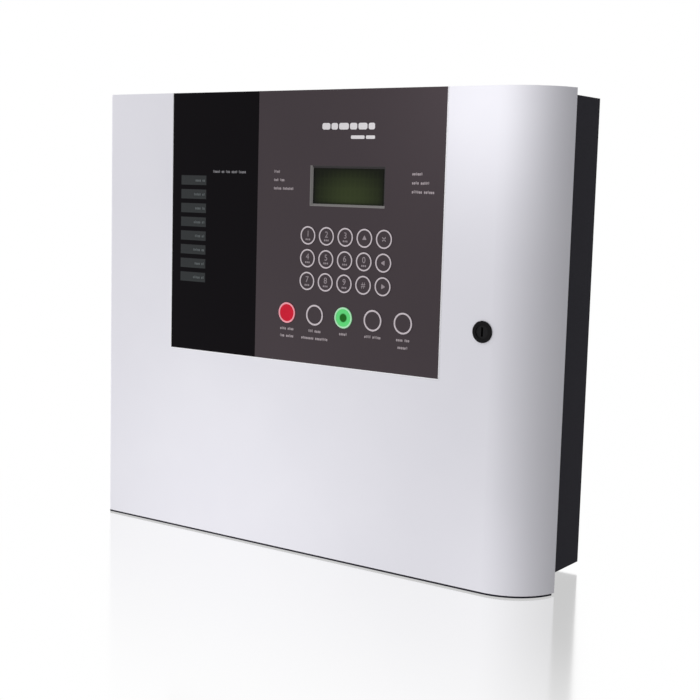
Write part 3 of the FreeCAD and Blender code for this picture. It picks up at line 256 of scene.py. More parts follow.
legends = []
for node in small_keys:
    x, z, _, front = cap_of(node)
    sign = node.split("_")[1]
    name = node + "_legend"
    if sign.isdigit():
        legends.append(letter(name, sign, legend_size, x, z + number_rise, front, node))
        under = np.array([bar(x + step * small_print_step, z - small_print_drop, small_print_length,
                              small_print_width) for step in (-1, 0, 1)])
        legends.append(plates(node + "_small_print", under, front - ink_height, front + ink_height, node))
    elif sign == "hash":
        legends.append(letter(name, "#", legend_size, x, z, front, node))
    elif sign == "cancel":
        cross = np.array([bar(x, z, cross_length, cross_width, turn) for turn in (np.pi / 4, -np.pi / 4)])
        legends.append(plates(name, cross, front - ink_height, front + ink_height, node))
    else:
        turn = {"up": np.pi / 2, "left": np.pi, "right": 0.0}[sign]
        arrow = triangle(x, z, arrow_reach, turn)[None]
        legends.append(plates(name, arrow, front - ink_height, front + ink_height, node))
print("legends:", [piece.name for piece in legends])

# %% [markdown]
# ## The print on the fascia
#
# Screen print is a film of ink a few hundredths of a millimetre thick. It could be a mask in the panel's
# material, but as thin plates each word can be placed from the piece it names. Each letter is a plain
# block, tall for some and low for others, so the print has the size and grain of captions and says nothing.

# %% Words as rows of blocks
letter_pitch = 1.4 * mm
letter_width = 1.1 * mm
letter_heights = np.array([2.4, 1.8, 1.8, 2.2, 1.7]) * mm
chance = np.random.default_rng(7)


def row_width(words):
    """Length of a row of words, given as letter counts, with one letter's room between words."""
    return (sum(words) + len(words) - 1) * letter_pitch


def print_row(x, z, words):
    """Outlines of a row of words that starts at x. Letters stand on a common line below z."""
    places = np.concatenate([np.arange(count) + sum(words[:number]) + number
                             for number, count in enumerate(words)])
    heights = chance.choice(letter_heights, len(places))
    foot = z - letter_heights.max() / 2
    return [bar(x + (place + 0.5) * letter_pitch, foot + height / 2, letter_width, height)
            for place, height in zip(places, heights)]


def centred(x, z, words):
    """The same row with its middle at x."""
    return print_row(x - row_width(words) / 2, z, words)


def printed(name, rows, face):
    """All the blocks of one print, as plates on a face."""
    return plates(name, np.array(rows), face - ink_height, face + ink_height, "door")


line_step = 5.3 * mm
below_button = 4.0 * mm
button_words = [[(4, 4), (3, 5)], [(3, 4), (8, 8)], [(5,)], [(4, 5)], [(4, 3), (6,)]]
captions = []
for node, lines in zip(buttons, button_words):
    x, z, radius, _ = cap_of(node)
    for number, line in enumerate(lines):
        captions += centred(x, z - radius - below_button - number * line_step, line)

side_step = 6.1 * mm
side_top = display_top - 4.6 * mm
left_start = panel_left + 15.1 * mm
right_start = display_right + 21.9 * mm
side_words = [((4,), (6,)), ((3, 3), (4, 5)), ((5, 7), (6, 6))]
for number, (left_words, right_words) in enumerate(side_words):
    captions += print_row(left_start, side_top - number * side_step, left_words)
    captions += print_row(right_start, side_top - number * side_step, right_words)
caption_print = printed("caption_print", captions, panel_face)
print("caption blocks:", len(captions))

# %% [markdown]
# ## The maker's place above the display
#
# A panel of this kind carries a name and a model here. A model for others to reuse should carry neither, so
# plain bars of about the same size stand in their place, in two rows.

# %% Plain bars in place of a name
name_height, name_gap, name_drop = 4.6 * mm, 1.0 * mm, 25.8 * mm
line_height, line_gap, line_drop = 2.4 * mm, 1.2 * mm, 33.4 * mm
line_shift = 12.6 * mm
name_lengths = [length * mm for length in (7.0, 5.6, 8.4, 6.2, 7.6, 5.4)]
line_lengths = [length * mm for length in (11.6, 7.6)]


def mark(x, z, lengths, height, gap):
    """Bars of the given lengths in a row whose middle is at x."""
    ends = np.cumsum(np.array(lengths) + gap)
    total = ends[-1] - gap
    return [bar(x - total / 2 + end - gap - length / 2, z, length, height)
            for end, length in zip(ends, lengths)]


maker_rows = mark(middle_x, panel_top - name_drop, name_lengths, name_height, name_gap)
maker_rows += mark(middle_x + line_shift, panel_top - line_drop, line_lengths, line_height, line_gap)
maker_print = printed("maker_print", maker_rows, panel_face)
print("bars:", len(maker_rows))

# %% [markdown]
# ## The zone labels
#
# Eight strips with blocks for the zones' names show through the dark window, and a row of small heads
# stands above them at the right. The strips are a shade paler than the window, and the words on them are
# dim, because both lie behind the film.

# %% Labels in the zone window
zone_count = 8
zone_step = 10.6 * mm
strip_left = window_left + 9.0 * mm
strip_right = window_left + 34.3 * mm
strip_height = 7.2 * mm
strip_sink = 0.03 * mm
word_margin = 1.2 * mm
first_zone_z = panel_top - 66.0 * mm
head_start, head_rise = window_left + 41.0 * mm, 7.0 * mm
head_words = (5, 2, 3, 4, 5)


def strip(z):
    """A flat rectangle across the label's width."""
    low, high = z - strip_height / 2, z + strip_height / 2
    return [(strip_left, low), (strip_right, low), (strip_right, high), (strip_left, high)]


zone_zs = first_zone_z - np.arange(zone_count) * zone_step
strip_face = window_face - strip_sink
strip_outlines = np.array([strip(z) for z in zone_zs])
zone_strips = plates("zone_strips", strip_outlines, strip_face, window_face + ink_height, "door")

zone_words = []
for number, z in enumerate(zone_zs):
    words = (4 + number % 2, 2)
    zone_words += print_row(strip_right - word_margin - row_width(words), z, words)
zone_print = printed("zone_print", zone_words, strip_face)
head_rows = print_row(head_start, first_zone_z + head_rise, head_words)
head_print = printed("head_print", head_rows, window_face)
print("zones:", zone_count)

# %% [markdown]
# ## The painted edge of the notch
#
# Paint pulls back from a cut edge and builds up beside it, so the notch in the door has a slightly raised,
# rounded rim. Its coat is paler than the door's, a painted highlight, so the rim shows as a bright line. It
# could be a bevel on the door, but the door is a CAD piece and stays as it is. A small circle carried down
# the left side, along the bottom and up the right side gives the same line.

# %% Rim of the notch
rim_radius = 0.45 * mm
rim_sink = 0.1 * mm
rim_out = 0.32 * mm
notch_left = window_left - rim_out
notch_right = panel_right + rim_out
notch_bottom = panel_bottom - rim_out


def notch_rim():
    """A circle carried along a U.

    At each point of the U, the circle lies in the plane of the point's outward direction and the Y axis. At
    the two corners that direction runs along the diagonal and is root two long, so the sides stay as thick
    as the runs.
    """
    path = np.array([(notch_left, panel_top), (notch_left, notch_bottom), (notch_right, notch_bottom),
                     (notch_right, panel_top)])
    outward = np.array([(-1, 0), (-1, -1), (1, -1), (1, 0)])
    angle = np.linspace(0, 2 * np.pi, 16, endpoint=False)
    across = path[:, None, :] + outward[:, None, :] * (rim_radius * np.cos(angle))[None, :, None]
    y = np.broadcast_to(panel_face + rim_sink + rim_radius * np.sin(angle), across.shape[:2])
    grid = np.stack([across[..., 0], y, across[..., 1]], axis=-1)
    return carried_profile("notch_rim", grid, "door", False)


rim = notch_rim()
print("rim points:", len(rim.data.vertices))

# %% [markdown]
# ## Writing shaders as sums
#
# A material is a graph of nodes. Wiring it by hand hides the idea behind it, so a small class wraps a
# socket and lets Python's own operators add the Math nodes. The finish class below it makes every other
# node in one method.

# %% A socket that can be added and multiplied
class Amount:
    """A number that varies over a surface. Arithmetic on it adds Math nodes."""

    def __init__(self, finish, socket):
        self.finish = finish
        self.socket = socket

    def math(self, operation, *others):
        values = dict(enumerate((self, *others)))
        return self.finish.node("ShaderNodeMath", {"operation": operation}, values)

    def __add__(self, other):
        return self.math("ADD", other)

    def __sub__(self, other):
        return self.math("SUBTRACT", other)

    def __rsub__(self, other):
        return self.finish.node("ShaderNodeMath", {"operation": "SUBTRACT"}, {0: other, 1: self})

    def __mul__(self, other):
        return self.math("MULTIPLY", other)

    def __truediv__(self, other):
        return self.math("DIVIDE", other)

    def __gt__(self, other):
        return self.math("GREATER_THAN", other)

    def __lt__(self, other):
        return self.math("LESS_THAN", other)

    def __abs__(self):
        return self.math("ABSOLUTE")

    def root(self):
        return self.math("SQRT")

    def wrapped(self, step):
        return self.math("MODULO", step).math("ADD", step).math("MODULO", step)

    def between(self, low, high):
        """One between two numbers and nought elsewhere."""
        return (self > low) * (self < high)

    def eased(self, low, high):
        """Rises smoothly from nought at low to one at high."""
        return self.finish.node("ShaderNodeMapRange", {"interpolation_type": "SMOOTHSTEP"},
                                {"Value": self, "From Min": low, "From Max": high})

    __radd__ = __add__
    __rmul__ = __mul__


class Finish:
    """A material with one Principled shader."""

    def __init__(self, name, **constants):
        self.material = bpy.data.materials.new(name)
        self.material.use_nodes = True
        self.tree = self.material.node_tree
        self.tree.nodes.clear()
        self.shader = self.tree.nodes.new("ShaderNodeBsdfPrincipled")
        output = self.tree.nodes.new("ShaderNodeOutputMaterial")
        self.tree.links.new(self.shader.outputs[0], output.inputs[0])
        for label, value in constants.items():
            self.set(label.replace("_", " "), value)

    def set(self, label, value):
        self.feed(self.shader.inputs[label], value)

    def feed(self, socket, value):
        if isinstance(value, Amount):
            self.tree.links.new(value.socket, socket)
        elif isinstance(value, tuple) and len(value) == 3 and socket.type == "RGBA":
            socket.default_value = (*value, 1.0)
        else:
            socket.default_value = value

    def node(self, kind, settings, inputs, output=0):
        """Adds a node, makes its settings, then fills or links its sockets."""
        made = self.tree.nodes.new(kind)
        for label, value in settings.items():
            setattr(made, label, value)
        for label, value in inputs.items():
            self.feed(made.inputs[label], value)
        return Amount(self, made.outputs[output])

    def place(self):
        return self.node("ShaderNodeTexCoord", {}, {}, "Object")

    def axes(self):
        """X, Y and Z of the point, in metres."""
        place = self.place()
        return [self.node("ShaderNodeSeparateXYZ", {}, {0: place}, number) for number in range(3)]

    def noise(self, grain, detail=3.0, stretch=(1, 1, 1)):
        """Soft noise whose spots are about one grain across."""
        moved = self.node("ShaderNodeMapping", {}, {"Vector": self.place(), "Scale": stretch})
        return self.node("ShaderNodeTexNoise", {}, {"Vector": moved, "Scale": 1 / grain, "Detail": detail})

    def cells(self, grain):
        """Distance to the middle of the nearest of many scattered cells, from nought to about one."""
        return self.node("ShaderNodeTexVoronoi", {}, {"Vector": self.place(), "Scale": 1 / grain})

    def mix(self, share, first, second):
        """A colour between two colours."""
        made = self.tree.nodes.new("ShaderNodeMix")
        made.data_type = "RGBA"
        self.feed(made.inputs[0], share)
        self.feed(made.inputs[6], first)
        self.feed(made.inputs[7], second)
        return Amount(self, made.outputs[2])

    def bump(self, height, depth, strength=1.0):
        """Bumps as deep as depth, where height runs from nought to one."""
        normal = self.node("ShaderNodeBump", {}, {"Strength": strength, "Distance": depth, "Height": height})
        self.set("Normal", normal)

    def on(self, *names):
        """Puts the material on pieces and CAD nodes."""
        for name in names:
            piece = bpy.data.objects[name]
            piece.data.materials.clear()
            piece.data.materials.append(self.material)
        return self


def linear(red, green, blue):
    """A colour given in the 0 to 255 steps of a screen, as the shader's own light values."""
    shares = np.array([red, green, blue]) / 255
    curved = ((shares + 0.055) / 1.055) ** 2.4
    return tuple(float(share) for share in np.where(shares <= 0.04045, shares / 12.92, curved))


print("shader helpers ready")

# %% [markdown]
# ## White powder coat
#
# The door is steel with a smooth white powder coat. Powder melts into a film with a faint ripple, like
# orange peel, about a millimetre and a half across. Noise drives a very shallow bump for the ripple, a
# slower noise dulls the gloss in patches where hands have been, and the colour drifts by a percent or two.

# %% Door
def white_coat():
    coat = Finish("white_powder_coat", Specular_IOR_Level=0.3)
    drift = coat.noise(60 * mm, 2.0)
    ripple = coat.noise(1.5 * mm, 2.0)
    speck = coat.noise(0.4 * mm, 2.0)
    coat.set("Base Color", coat.mix(drift, linear(238, 237, 243), linear(232, 231, 238)))
    coat.set("Roughness", 0.34 + coat.noise(25 * mm, 4.0) * 0.14)
    coat.bump(ripple * 0.8 + speck * 0.2, 0.02 * mm, 0.5)
    return coat


def rim_coat_with_painted_highlight():
    """The rim's coat, painted paler than the door's as a painted highlight, with the same ripple."""
    coat = Finish("rim_coat_with_painted_highlight", Specular_IOR_Level=0.4)
    # painted highlight: the rim's colour is paler than the door's white, so that it shows as a bright line
    coat.set("Base Color", coat.mix(coat.noise(8 * mm, 2.0), linear(252, 252, 254), linear(246, 245, 249)))
    coat.set("Roughness", 0.3 + coat.noise(4 * mm, 3.0) * 0.1)
    coat.bump(coat.noise(1.5 * mm, 2.0), 0.02 * mm, 0.4)
    return coat


white_coat().on("door_shell")
rim_coat_with_painted_highlight().on("notch_rim")
print("door finished")

# %% [markdown]
# ## Graphite powder coat
#
# The box and the strip under the door have a fine textured coat, which hides fingerprints and scratches. The
# strip stands where the door's bottom edge shows a dark line of shade, so its dark coat there is painted
# shade.
# Scattered cells half a millimetre across, softened with noise, give its grains, and the tops of the grains
# are a little paler and smoother than the hollows.

# %% Box
def graphite_coat():
    coat = Finish("graphite_powder_coat", Specular_IOR_Level=0.05)
    grain = coat.cells(0.6 * mm) * 0.6 + coat.noise(0.5 * mm, 3.0) * 0.4
    coat.set("Base Color", coat.mix(grain.eased(0.2, 0.7), linear(43, 41, 50), linear(31, 30, 37)))
    coat.set("Roughness", 0.5 + grain * 0.25)
    coat.bump(1 - grain, 0.05 * mm, 0.6)
    return coat


# painted shade: bottom_trim is coated dark to stand in for the dark line of shade along the door's bottom
# edge
graphite_coat().on("back_box", "bottom_trim")
print("box finished")

# %% [markdown]
# ## Zinc plate, ground steel and brass
#
# Hinges, screws, pillars, the supply's cover and the battery bracket are zinc plated. Plating is bright but
# not even: it has a faint blue and yellow bloom and a fine grain from rolling. The pins are ground, so they
# have fine lines round them, and the earth stud is brass.

# %% Metals
def zinc_plate():
    zinc = Finish("zinc_plate", Metallic=1.0)
    bloom = zinc.noise(14 * mm, 3.0)
    rolled = zinc.noise(0.8 * mm, 3.0, (1, 1, 0.08))
    zinc.set("Base Color", zinc.mix(bloom.eased(0.35, 0.65), linear(186, 188, 190), linear(196, 190, 172)))
    zinc.set("Roughness", 0.3 + rolled * 0.22)
    zinc.bump(rolled, 0.01 * mm, 0.4)
    return zinc


def ground_steel():
    steel = Finish("ground_steel", Metallic=1.0)
    lines = steel.noise(0.3 * mm, 3.0, (0.1, 0.1, 1))
    steel.set("Base Color", steel.mix(lines, linear(176, 177, 180), linear(206, 207, 210)))
    steel.set("Roughness", 0.2 + lines * 0.2)
    steel.bump(lines, 0.01 * mm, 0.4)
    return steel


def turned_brass():
    brass = Finish("turned_brass", Metallic=1.0)
    lines = brass.noise(0.5 * mm, 3.0, (1, 0.1, 1))
    brass.set("Base Color", brass.mix(lines, linear(181, 150, 84), linear(207, 178, 108)))
    brass.set("Roughness", 0.25 + lines * 0.25)
    brass.bump(lines, 0.01 * mm, 0.4)
    return brass


zinc_plate().on("box_hinge_leaves", "door_hinge_leaves", "chassis_fasteners", "door_fasteners",
                "board_pillars", "supply_cover", "battery_bracket", "battery_terminals",
                "lock_nut", "lock_cam", "cam_bolt")
ground_steel().on("hinge_pins")
turned_brass().on("earth_stud")
print("metals finished")

# %% [markdown]
# ## Moulded plastics and rubber
#
# A moulding takes its surface from the tool, which is spark eroded to a fine even grain. One function makes
# that grain for any colour, and its numbers set how coarse and how dull each moulding is.

# %% Plastics
def moulded(name, pale, dark, grain, depth, rough, **constants):
    """Plastic with a spark-eroded surface: fine cells for the grain, slow noise for the shade."""
    plastic = Finish(name, **constants)
    shade = plastic.noise(18 * mm, 3.0)
    pits = plastic.cells(grain) * 0.5 + plastic.noise(grain, 3.0) * 0.5
    plastic.set("Base Color", plastic.mix(shade, pale, dark))
    plastic.set("Roughness", rough + pits * 0.18)
    plastic.bump(pits, depth, 0.5)
    return plastic


moulded("moulded_black", linear(34, 33, 36), linear(26, 25, 28), 0.35 * mm, 0.03 * mm, 0.42).on(
    "fascia_base", "blanking_plugs", "sounder", "board_connectors")
moulded("bush_rubber", linear(30, 30, 31), linear(22, 22, 23), 0.5 * mm, 0.05 * mm, 0.66).on("cable_bushes")
moulded("battery_case", linear(58, 58, 61), linear(48, 48, 51), 0.5 * mm, 0.04 * mm, 0.45).on(
    "battery_left", "battery_right")
moulded("mains_block", linear(128, 129, 130), linear(112, 113, 115), 0.4 * mm, 0.03 * mm, 0.45).on(
    "mains_terminal_block")
moulded("switch_body", linear(36, 36, 38), linear(28, 28, 30), 0.3 * mm, 0.02 * mm, 0.4).on("key_switches")
moulded("light_pipe", linear(216, 226, 222), linear(200, 212, 206), 2.0 * mm, 0.01 * mm, 0.08,
        Transmission_Weight=0.8, IOR=1.49).on("zone_light_pipes")
moulded("lock_black", linear(15, 14, 16), linear(11, 10, 12), 0.3 * mm, 0.01 * mm, 0.34,
        Specular_IOR_Level=0.1).on("lock_housing")
moulded("lock_core", linear(20, 19, 21), linear(14, 13, 15), 0.3 * mm, 0.01 * mm, 0.38,
        Specular_IOR_Level=0.15).on("lock_plug")
print("plastics finished")

# %% [markdown]
# ## The panel's film and the dark window
#
# The keypad's face is a satin film, warm graphite in colour, with a fine tooth that keeps it from shining.
# The window beside it is the same film left clear and backed with black, so it is glossy and almost without
# texture, apart from a slow waviness and a few specks of dust.

# %% Film and window
def satin_film():
    film = Finish("satin_film", Specular_IOR_Level=0.1)
    cloud = film.noise(45 * mm, 2.0)
    tooth = film.noise(0.25 * mm, 2.0)
    film.set("Base Color", film.mix(cloud, linear(71, 62, 66), linear(68, 60, 64)))
    film.set("Roughness", 0.46 + tooth * 0.14)
    film.bump(tooth, 0.012 * mm, 0.4)
    return film


def dark_window():
    film = Finish("dark_window", Specular_IOR_Level=0.04)
    wave = film.noise(30 * mm, 2.0)
    dust = film.noise(0.7 * mm, 4.0).eased(0.68, 0.8)
    film.set("Base Color", film.mix(dust * 0.25, linear(13, 10, 14), linear(50, 48, 52)))
    film.set("Roughness", 0.16 + dust * 0.4)
    film.bump(wave, 0.08 * mm, 0.3)
    return film


satin = satin_film()
satin.on("keypad_panel", *small_keys, "silence_button", "mute_button", "reset_button")
dark_window().on("zone_window")
print("film and window finished")

# %% [markdown]
# ## Inks
#
# Ink is matt and never quite opaque. Fine noise thins it here and there, so it takes a little of the colour
# below.

# %% Inks
def ink(name, colour, below, rough=0.55):
    """A printed colour that lets some of the colour below it through."""
    made = Finish(name, Specular_IOR_Level=0.3)
    thin = made.noise(0.3 * mm, 3.0)
    made.set("Base Color", made.mix(thin.eased(0.5, 0.9) * 0.6, colour, below))
    made.set("Roughness", rough + thin * 0.1)
    made.bump(thin, 0.01 * mm, 0.4)
    return made


film_colour = linear(68, 59, 63)
window_colour = linear(15, 12, 16)
ink("ring_ink", linear(214, 203, 208), linear(150, 140, 145)).on(
    *[node + "_ring" for node in small_keys + ["silence_button", "mute_button", "reset_button"]])
ink("alarm_ring_ink", linear(255, 170, 182), linear(230, 90, 110)).on("alarm_button_ring")
ink("legend_ink", linear(158, 147, 152), film_colour).on(*[piece.name for piece in legends])
ink("caption_ink", linear(168, 157, 161), film_colour).on("caption_print")
ink("maker_ink", linear(232, 228, 230), film_colour).on("maker_print")
ink("strip_ink", linear(30, 34, 36), window_colour, 0.5).on("zone_strips")
ink("zone_ink", linear(88, 94, 95), linear(40, 44, 46)).on("zone_print")
ink("head_ink", linear(128, 126, 130), window_colour).on("head_print")
print("inks finished")

# %% [markdown]
# ## The red button and the lit green button
#
# The alarm button is red right across. The OK button is lit from behind: its rim glows pale green and its
# middle, where the lamp's mask sits, stays dark. The distance from the button's centre decides which colour
# a point gets.

# %% Coloured buttons
def red_cap():
    cap = Finish("alarm_red", Specular_IOR_Level=0.15)
    shade = cap.noise(3 * mm, 2.0)
    cap.set("Base Color", cap.mix(shade, linear(218, 14, 50), linear(204, 8, 42)))
    cap.set("Roughness", 0.4 + cap.noise(0.4 * mm, 3.0) * 0.15)
    cap.bump(cap.noise(0.3 * mm, 3.0), 0.01 * mm, 0.4)
    return cap


def green_cap():
    x0, z0, radius, _ = cap_of("ok_button")
    cap = Finish("lit_green", Specular_IOR_Level=0.2, Emission_Strength=0.12)
    x, _, z = cap.axes()
    away = ((x - x0) * (x - x0) + (z - z0) * (z - z0)).root() / radius
    glow = away.eased(0.34, 0.48)
    colour = cap.mix(glow, linear(0, 98, 0), linear(92, 214, 118))
    cap.set("Base Color", colour)
    cap.set("Emission Color", colour)
    cap.set("Roughness", 0.35 + cap.noise(0.4 * mm, 3.0) * 0.15)
    cap.bump(cap.noise(0.3 * mm, 3.0), 0.01 * mm, 0.4)
    return cap


def green_ring():
    ring = Finish("lit_green_ring", Specular_IOR_Level=0.2, Emission_Strength=0.12)
    colour = ring.mix(ring.noise(1.0 * mm, 2.0), linear(186, 236, 196), linear(168, 226, 180))
    ring.set("Base Color", colour)
    ring.set("Emission Color", colour)
    ring.set("Roughness", 0.4 + ring.noise(0.4 * mm, 3.0) * 0.15)
    return ring


red_cap().on("alarm_button")
green_cap().on("ok_button")
green_ring().on("ok_button_ring")
print("buttons finished")

# %% [markdown]
# ## The display
# The display is a metal frame, a glass with its clear lens and a green circuit board in one CAD piece, so
# its material picks a colour by place. The glass is olive, with painted light that makes it brighter below
# the middle where the lamp is, darker along its edges, and the cells of the characters show as very faint
# blocks.
# The rim round it has painted light as well: its left and lower slopes are pale and the other two dark.

# %% Display
def display_rim():
    """The rim's left and lower slopes are painted pale, a painted highlight where they face the light, and
    the other two are as dark as the film, a painted shade.
    """
    left, right, _, _, low, high = edges("lcd_bezel")
    slope = 1.75 * mm        # width of the bezel's sloping sides
    rim_finish = Finish("display_rim", Specular_IOR_Level=0.2)
    x, _, z = rim_finish.axes()
    # painted light: by place, the left and lower slopes get a pale colour and the top and right slopes one
    # as dark as the film
    pale = ((x < left + slope) + (z < low + slope)).eased(0.0, 1.0)
    grain = rim_finish.cells(0.3 * mm)
    lit_slope_colour = rim_finish.mix(grain, linear(150, 147, 145), linear(128, 125, 124))
    rim_finish.set("Base Color", rim_finish.mix(pale, linear(58, 55, 56), lit_slope_colour))
    rim_finish.set("Roughness", 0.4 + grain * 0.15)
    rim_finish.bump(grain, 0.01 * mm, 0.4)
    return rim_finish


def display_glass():
    """Olive by place on the lens, metal on the frame and green on the board.

    The lamp's light is painted into the lens's colour: it falls off with the distance from a point below the
    middle, and is dimmed once more in a narrow band along the edges of the lens.
    """
    rear = edges("lcd_module")[3]
    board_front = rear - 1.65 * mm
    frame_front = rear - 7.65 * mm
    width, height = display_right - display_left, display_top - display_bottom
    middle_z = (display_bottom + display_top) / 2
    glass = Finish("display_glass", Specular_IOR_Level=0.06)
    x, y, z = glass.axes()
    across = (x - middle_x) / (width / 2)
    up = (z - middle_z) / (height / 2)
    # painted light: the lamp's glow and its fall-off, and the dimmer edges, are painted into the base colour
    lamp = 1 - ((across - 0.05) * (across - 0.05) * 0.6 + (up + 0.45) * (up + 0.45) * 0.35).root()
    inside = (1 - abs(across)).eased(0.03, 0.2) * (1 - abs(up)).eased(0.05, 0.3)
    column = ((across * 0.5 + 0.5) * 17.0).wrapped(1.0).between(0.2, 0.85)
    row = ((up * 0.5 + 0.5) * 4.4).wrapped(1.0).between(0.15, 0.85)
    lit = (lamp.eased(0.0, 0.95) * 0.85 + 0.15) * (inside * 0.75 + 0.25) - column * row * 0.06
    olive = glass.mix(lit, linear(16, 17, 14), linear(55, 64, 37))
    metal_share = y.between(frame_front, board_front)
    board_share = y > board_front
    coloured = glass.mix(metal_share, olive, linear(150, 150, 150))
    glass.set("Base Color", glass.mix(board_share, coloured, linear(22, 78, 44)))
    glass.set("Metallic", metal_share)
    glass.set("Roughness", 0.12 + metal_share * 0.3 + board_share * 0.25 + glass.noise(9 * mm, 3.0) * 0.06)
    glass.bump(glass.noise(12 * mm, 2.0), 0.05 * mm, 0.2)
    return glass


display_rim().on("lcd_bezel")
display_glass().on("lcd_module")
print("display finished")

# %% [markdown]
# ## Circuit boards and what stands on them
#
# A board is glass fibre under a green film, with copper tracks that show as paler lines and drilled holes
# ringed with solder. Tracks are bands of a grid that noise switches on and off, and the holes are a dot in
# each square of a wider grid. The parts on the boards are one CAD piece per board, so their colours are
# picked by place too.

# %% Boards
def solder_film():
    board = Finish("solder_film", Specular_IOR_Level=0.4)
    x, _, z = board.axes()
    pitch = 2.54 * mm
    patch = board.noise(16 * mm, 1.0)
    along = (z / pitch).wrapped(1.0).between(0.35, 0.65) * (patch > 0.52)
    down = (x / pitch).wrapped(1.0).between(0.35, 0.65) * (patch < 0.44)
    track = along + down
    hole_x = abs((x / (2 * pitch)).wrapped(1.0) - 0.5)
    hole_z = abs((z / (2 * pitch)).wrapped(1.0) - 0.5)
    away = (hole_x * hole_x + hole_z * hole_z).root()
    hole = (away < 0.13) * (board.noise(9 * mm, 1.0) > 0.58)
    film = board.mix(track, linear(14, 66, 36), linear(26, 96, 54))
    board.set("Base Color", board.mix(hole, film, linear(190, 190, 186)))
    board.set("Metallic", hole)
    board.set("Roughness", 0.32 + board.noise(5 * mm, 3.0) * 0.1)
    board.bump(track + hole, 0.035 * mm, 0.7)
    return board


def green_terminals():
    _, _, front, _, _, _ = edges("field_terminals")
    block = Finish("terminal_green", Specular_IOR_Level=0.35)
    _, y, _ = block.axes()
    screw = y.between(front + 1.9 * mm, front + 2.1 * mm)
    grain = block.cells(0.4 * mm)
    block.set("Base Color", block.mix(screw, block.mix(grain, linear(24, 128, 66), linear(16, 108, 54)),
                                      linear(190, 190, 188)))
    block.set("Metallic", screw)
    block.set("Roughness", 0.38 + grain * 0.16)
    block.bump(grain, 0.02 * mm, 0.4)
    return block


def board_parts():
    """Relays are pale, capacitors have a dark blue sleeve and a bright top, and the chips are black."""
    _, _, _, rear, _, high = edges("board_components")
    parts = Finish("board_parts", Specular_IOR_Level=0.4)
    x, y, z = parts.axes()
    board_left = edges("main_board")[0]
    cans_start = board_left + 120 * mm
    upper = z > high - 25 * mm
    relay = upper * (x < cans_start)
    can = upper * (x > cans_start)
    can_top = can * (y < rear - 19.9 * mm)
    grain = parts.noise(0.5 * mm, 3.0)
    chip = parts.mix(grain, linear(30, 30, 32), linear(24, 24, 26))
    colour = parts.mix(relay, chip, linear(196, 198, 200))
    colour = parts.mix(can, colour, linear(24, 30, 62))
    parts.set("Base Color", parts.mix(can_top, colour, linear(190, 192, 194)))
    parts.set("Metallic", can_top)
    parts.set("Roughness", 0.36 + grain * 0.2)
    parts.bump(grain, 0.02 * mm, 0.4)
    return parts


solder_film().on("main_board", "supply_board", "display_board")
green_terminals().on("field_terminals")
board_parts().on("board_components")
moulded("supply_parts", linear(62, 56, 50), linear(40, 38, 38), 0.6 * mm, 0.03 * mm, 0.45).on(
    "supply_components")
print("boards finished")

# %% [markdown]
# ## Card and leads
#
# The zone card is uncoated paper, whose fibres show as a faint stretched noise. The battery leads are soft
# PVC: the positive lead and the link are red, and the negative lead, which is the one on the right, is
# black.

# %% Card and leads
def zone_card():
    card = Finish("zone_card")
    fibre = card.noise(0.6 * mm, 4.0, (0.25, 1, 1))
    card.set("Base Color", card.mix(fibre, linear(222, 221, 215), linear(206, 204, 196)))
    card.set("Roughness", 0.8 + fibre * 0.15)
    card.bump(fibre, 0.02 * mm, 0.5)
    return card


def lead_sleeve():
    sleeve = Finish("lead_sleeve", Specular_IOR_Level=0.4)
    x, _, _ = sleeve.axes()
    black = x > edges("battery_right")[0] + 41 * mm
    scuff = sleeve.noise(2.5 * mm, 4.0)
    sleeve.set("Base Color", sleeve.mix(black, sleeve.mix(scuff, linear(176, 26, 24), linear(150, 20, 20)),
                                        linear(24, 24, 26)))
    sleeve.set("Roughness", 0.34 + scuff * 0.2)
    sleeve.bump(scuff, 0.02 * mm, 0.4)
    return sleeve


zone_card().on("zone_label_card")
lead_sleeve().on("battery_leads")
print("card and leads finished")

# %% [markdown]
# ## No slots
#
# The added pieces are not given slots of the parts list; this cell only prints a line.

# %% No slots
print("no slots recorded")

# %% [markdown]
# ## The floor
#
# The panel stands on a plain white floor in front of white. A white card on a table would do it in a real
# studio, and here the floor shines with its own white, so nothing shows on it but a mirror image that fades
# away from the panel.

# %% Floor
def floor():
    """One large square just under the panel, which mirrors only what is near it."""
    half = 6.0
    fade_reach, mirror_strength = 0.34, 0.42
    z = cad_low[2] - 0.2 * mm
    corners = [(-half, -half, z), (half, -half, z), (half, half, z), (-half, half, z)]
    mesh = bpy.data.meshes.new("floor")
    mesh.from_pydata(corners, [], [(0, 1, 2, 3)])
    made = bpy.data.objects.new("floor", mesh)
    bpy.context.collection.objects.link(made)
    made.visible_diffuse = False
    made.visible_shadow = False
    paint = Finish("floor_white", Specular_IOR_Level=0.0, Emission_Strength=1.0)
    x, y, _ = paint.axes()
    away = (cad_low[1] - y).math("MAXIMUM", x - cad_high[0]).math("MAXIMUM", cad_low[0] - x)
    mirror = (1 - away.eased(0.0, fade_reach)) * mirror_strength + paint.noise(0.2, 2.0) * 0.01
    paint.set("Base Color", (0.0, 0.0, 0.0))
    paint.set("Emission Color", (1.0, 1.0, 1.0))
    gloss = paint.node("ShaderNodeBsdfGlossy", {}, {"Color": (1.0, 1.0, 1.0), "Roughness": 0.12})
    mixed = paint.tree.nodes.new("ShaderNodeMixShader")
    output = next(node for node in paint.tree.nodes if node.bl_idname == "ShaderNodeOutputMaterial")
    paint.feed(mixed.inputs[0], mirror)
    paint.tree.links.new(paint.shader.outputs[0], mixed.inputs[1])
    paint.tree.links.new(gloss.socket, mixed.inputs[2])
    paint.tree.links.new(mixed.outputs[0], output.inputs[0])
    mesh.materials.append(paint.material)


floor()
print("floor at", round(cad_low[2], 4))

# %% [markdown]
# ## World and lamps
#
# The world's light comes from the front and the left and grows dim towards the right, so the rolled edge
# falls away into grey. A large diffuser does this in a studio. Four small soft boxes, one near each corner
# of the door, do the rest. They light the panel but aren't seen in it, so no bright squares show on the
# gloss of the window.

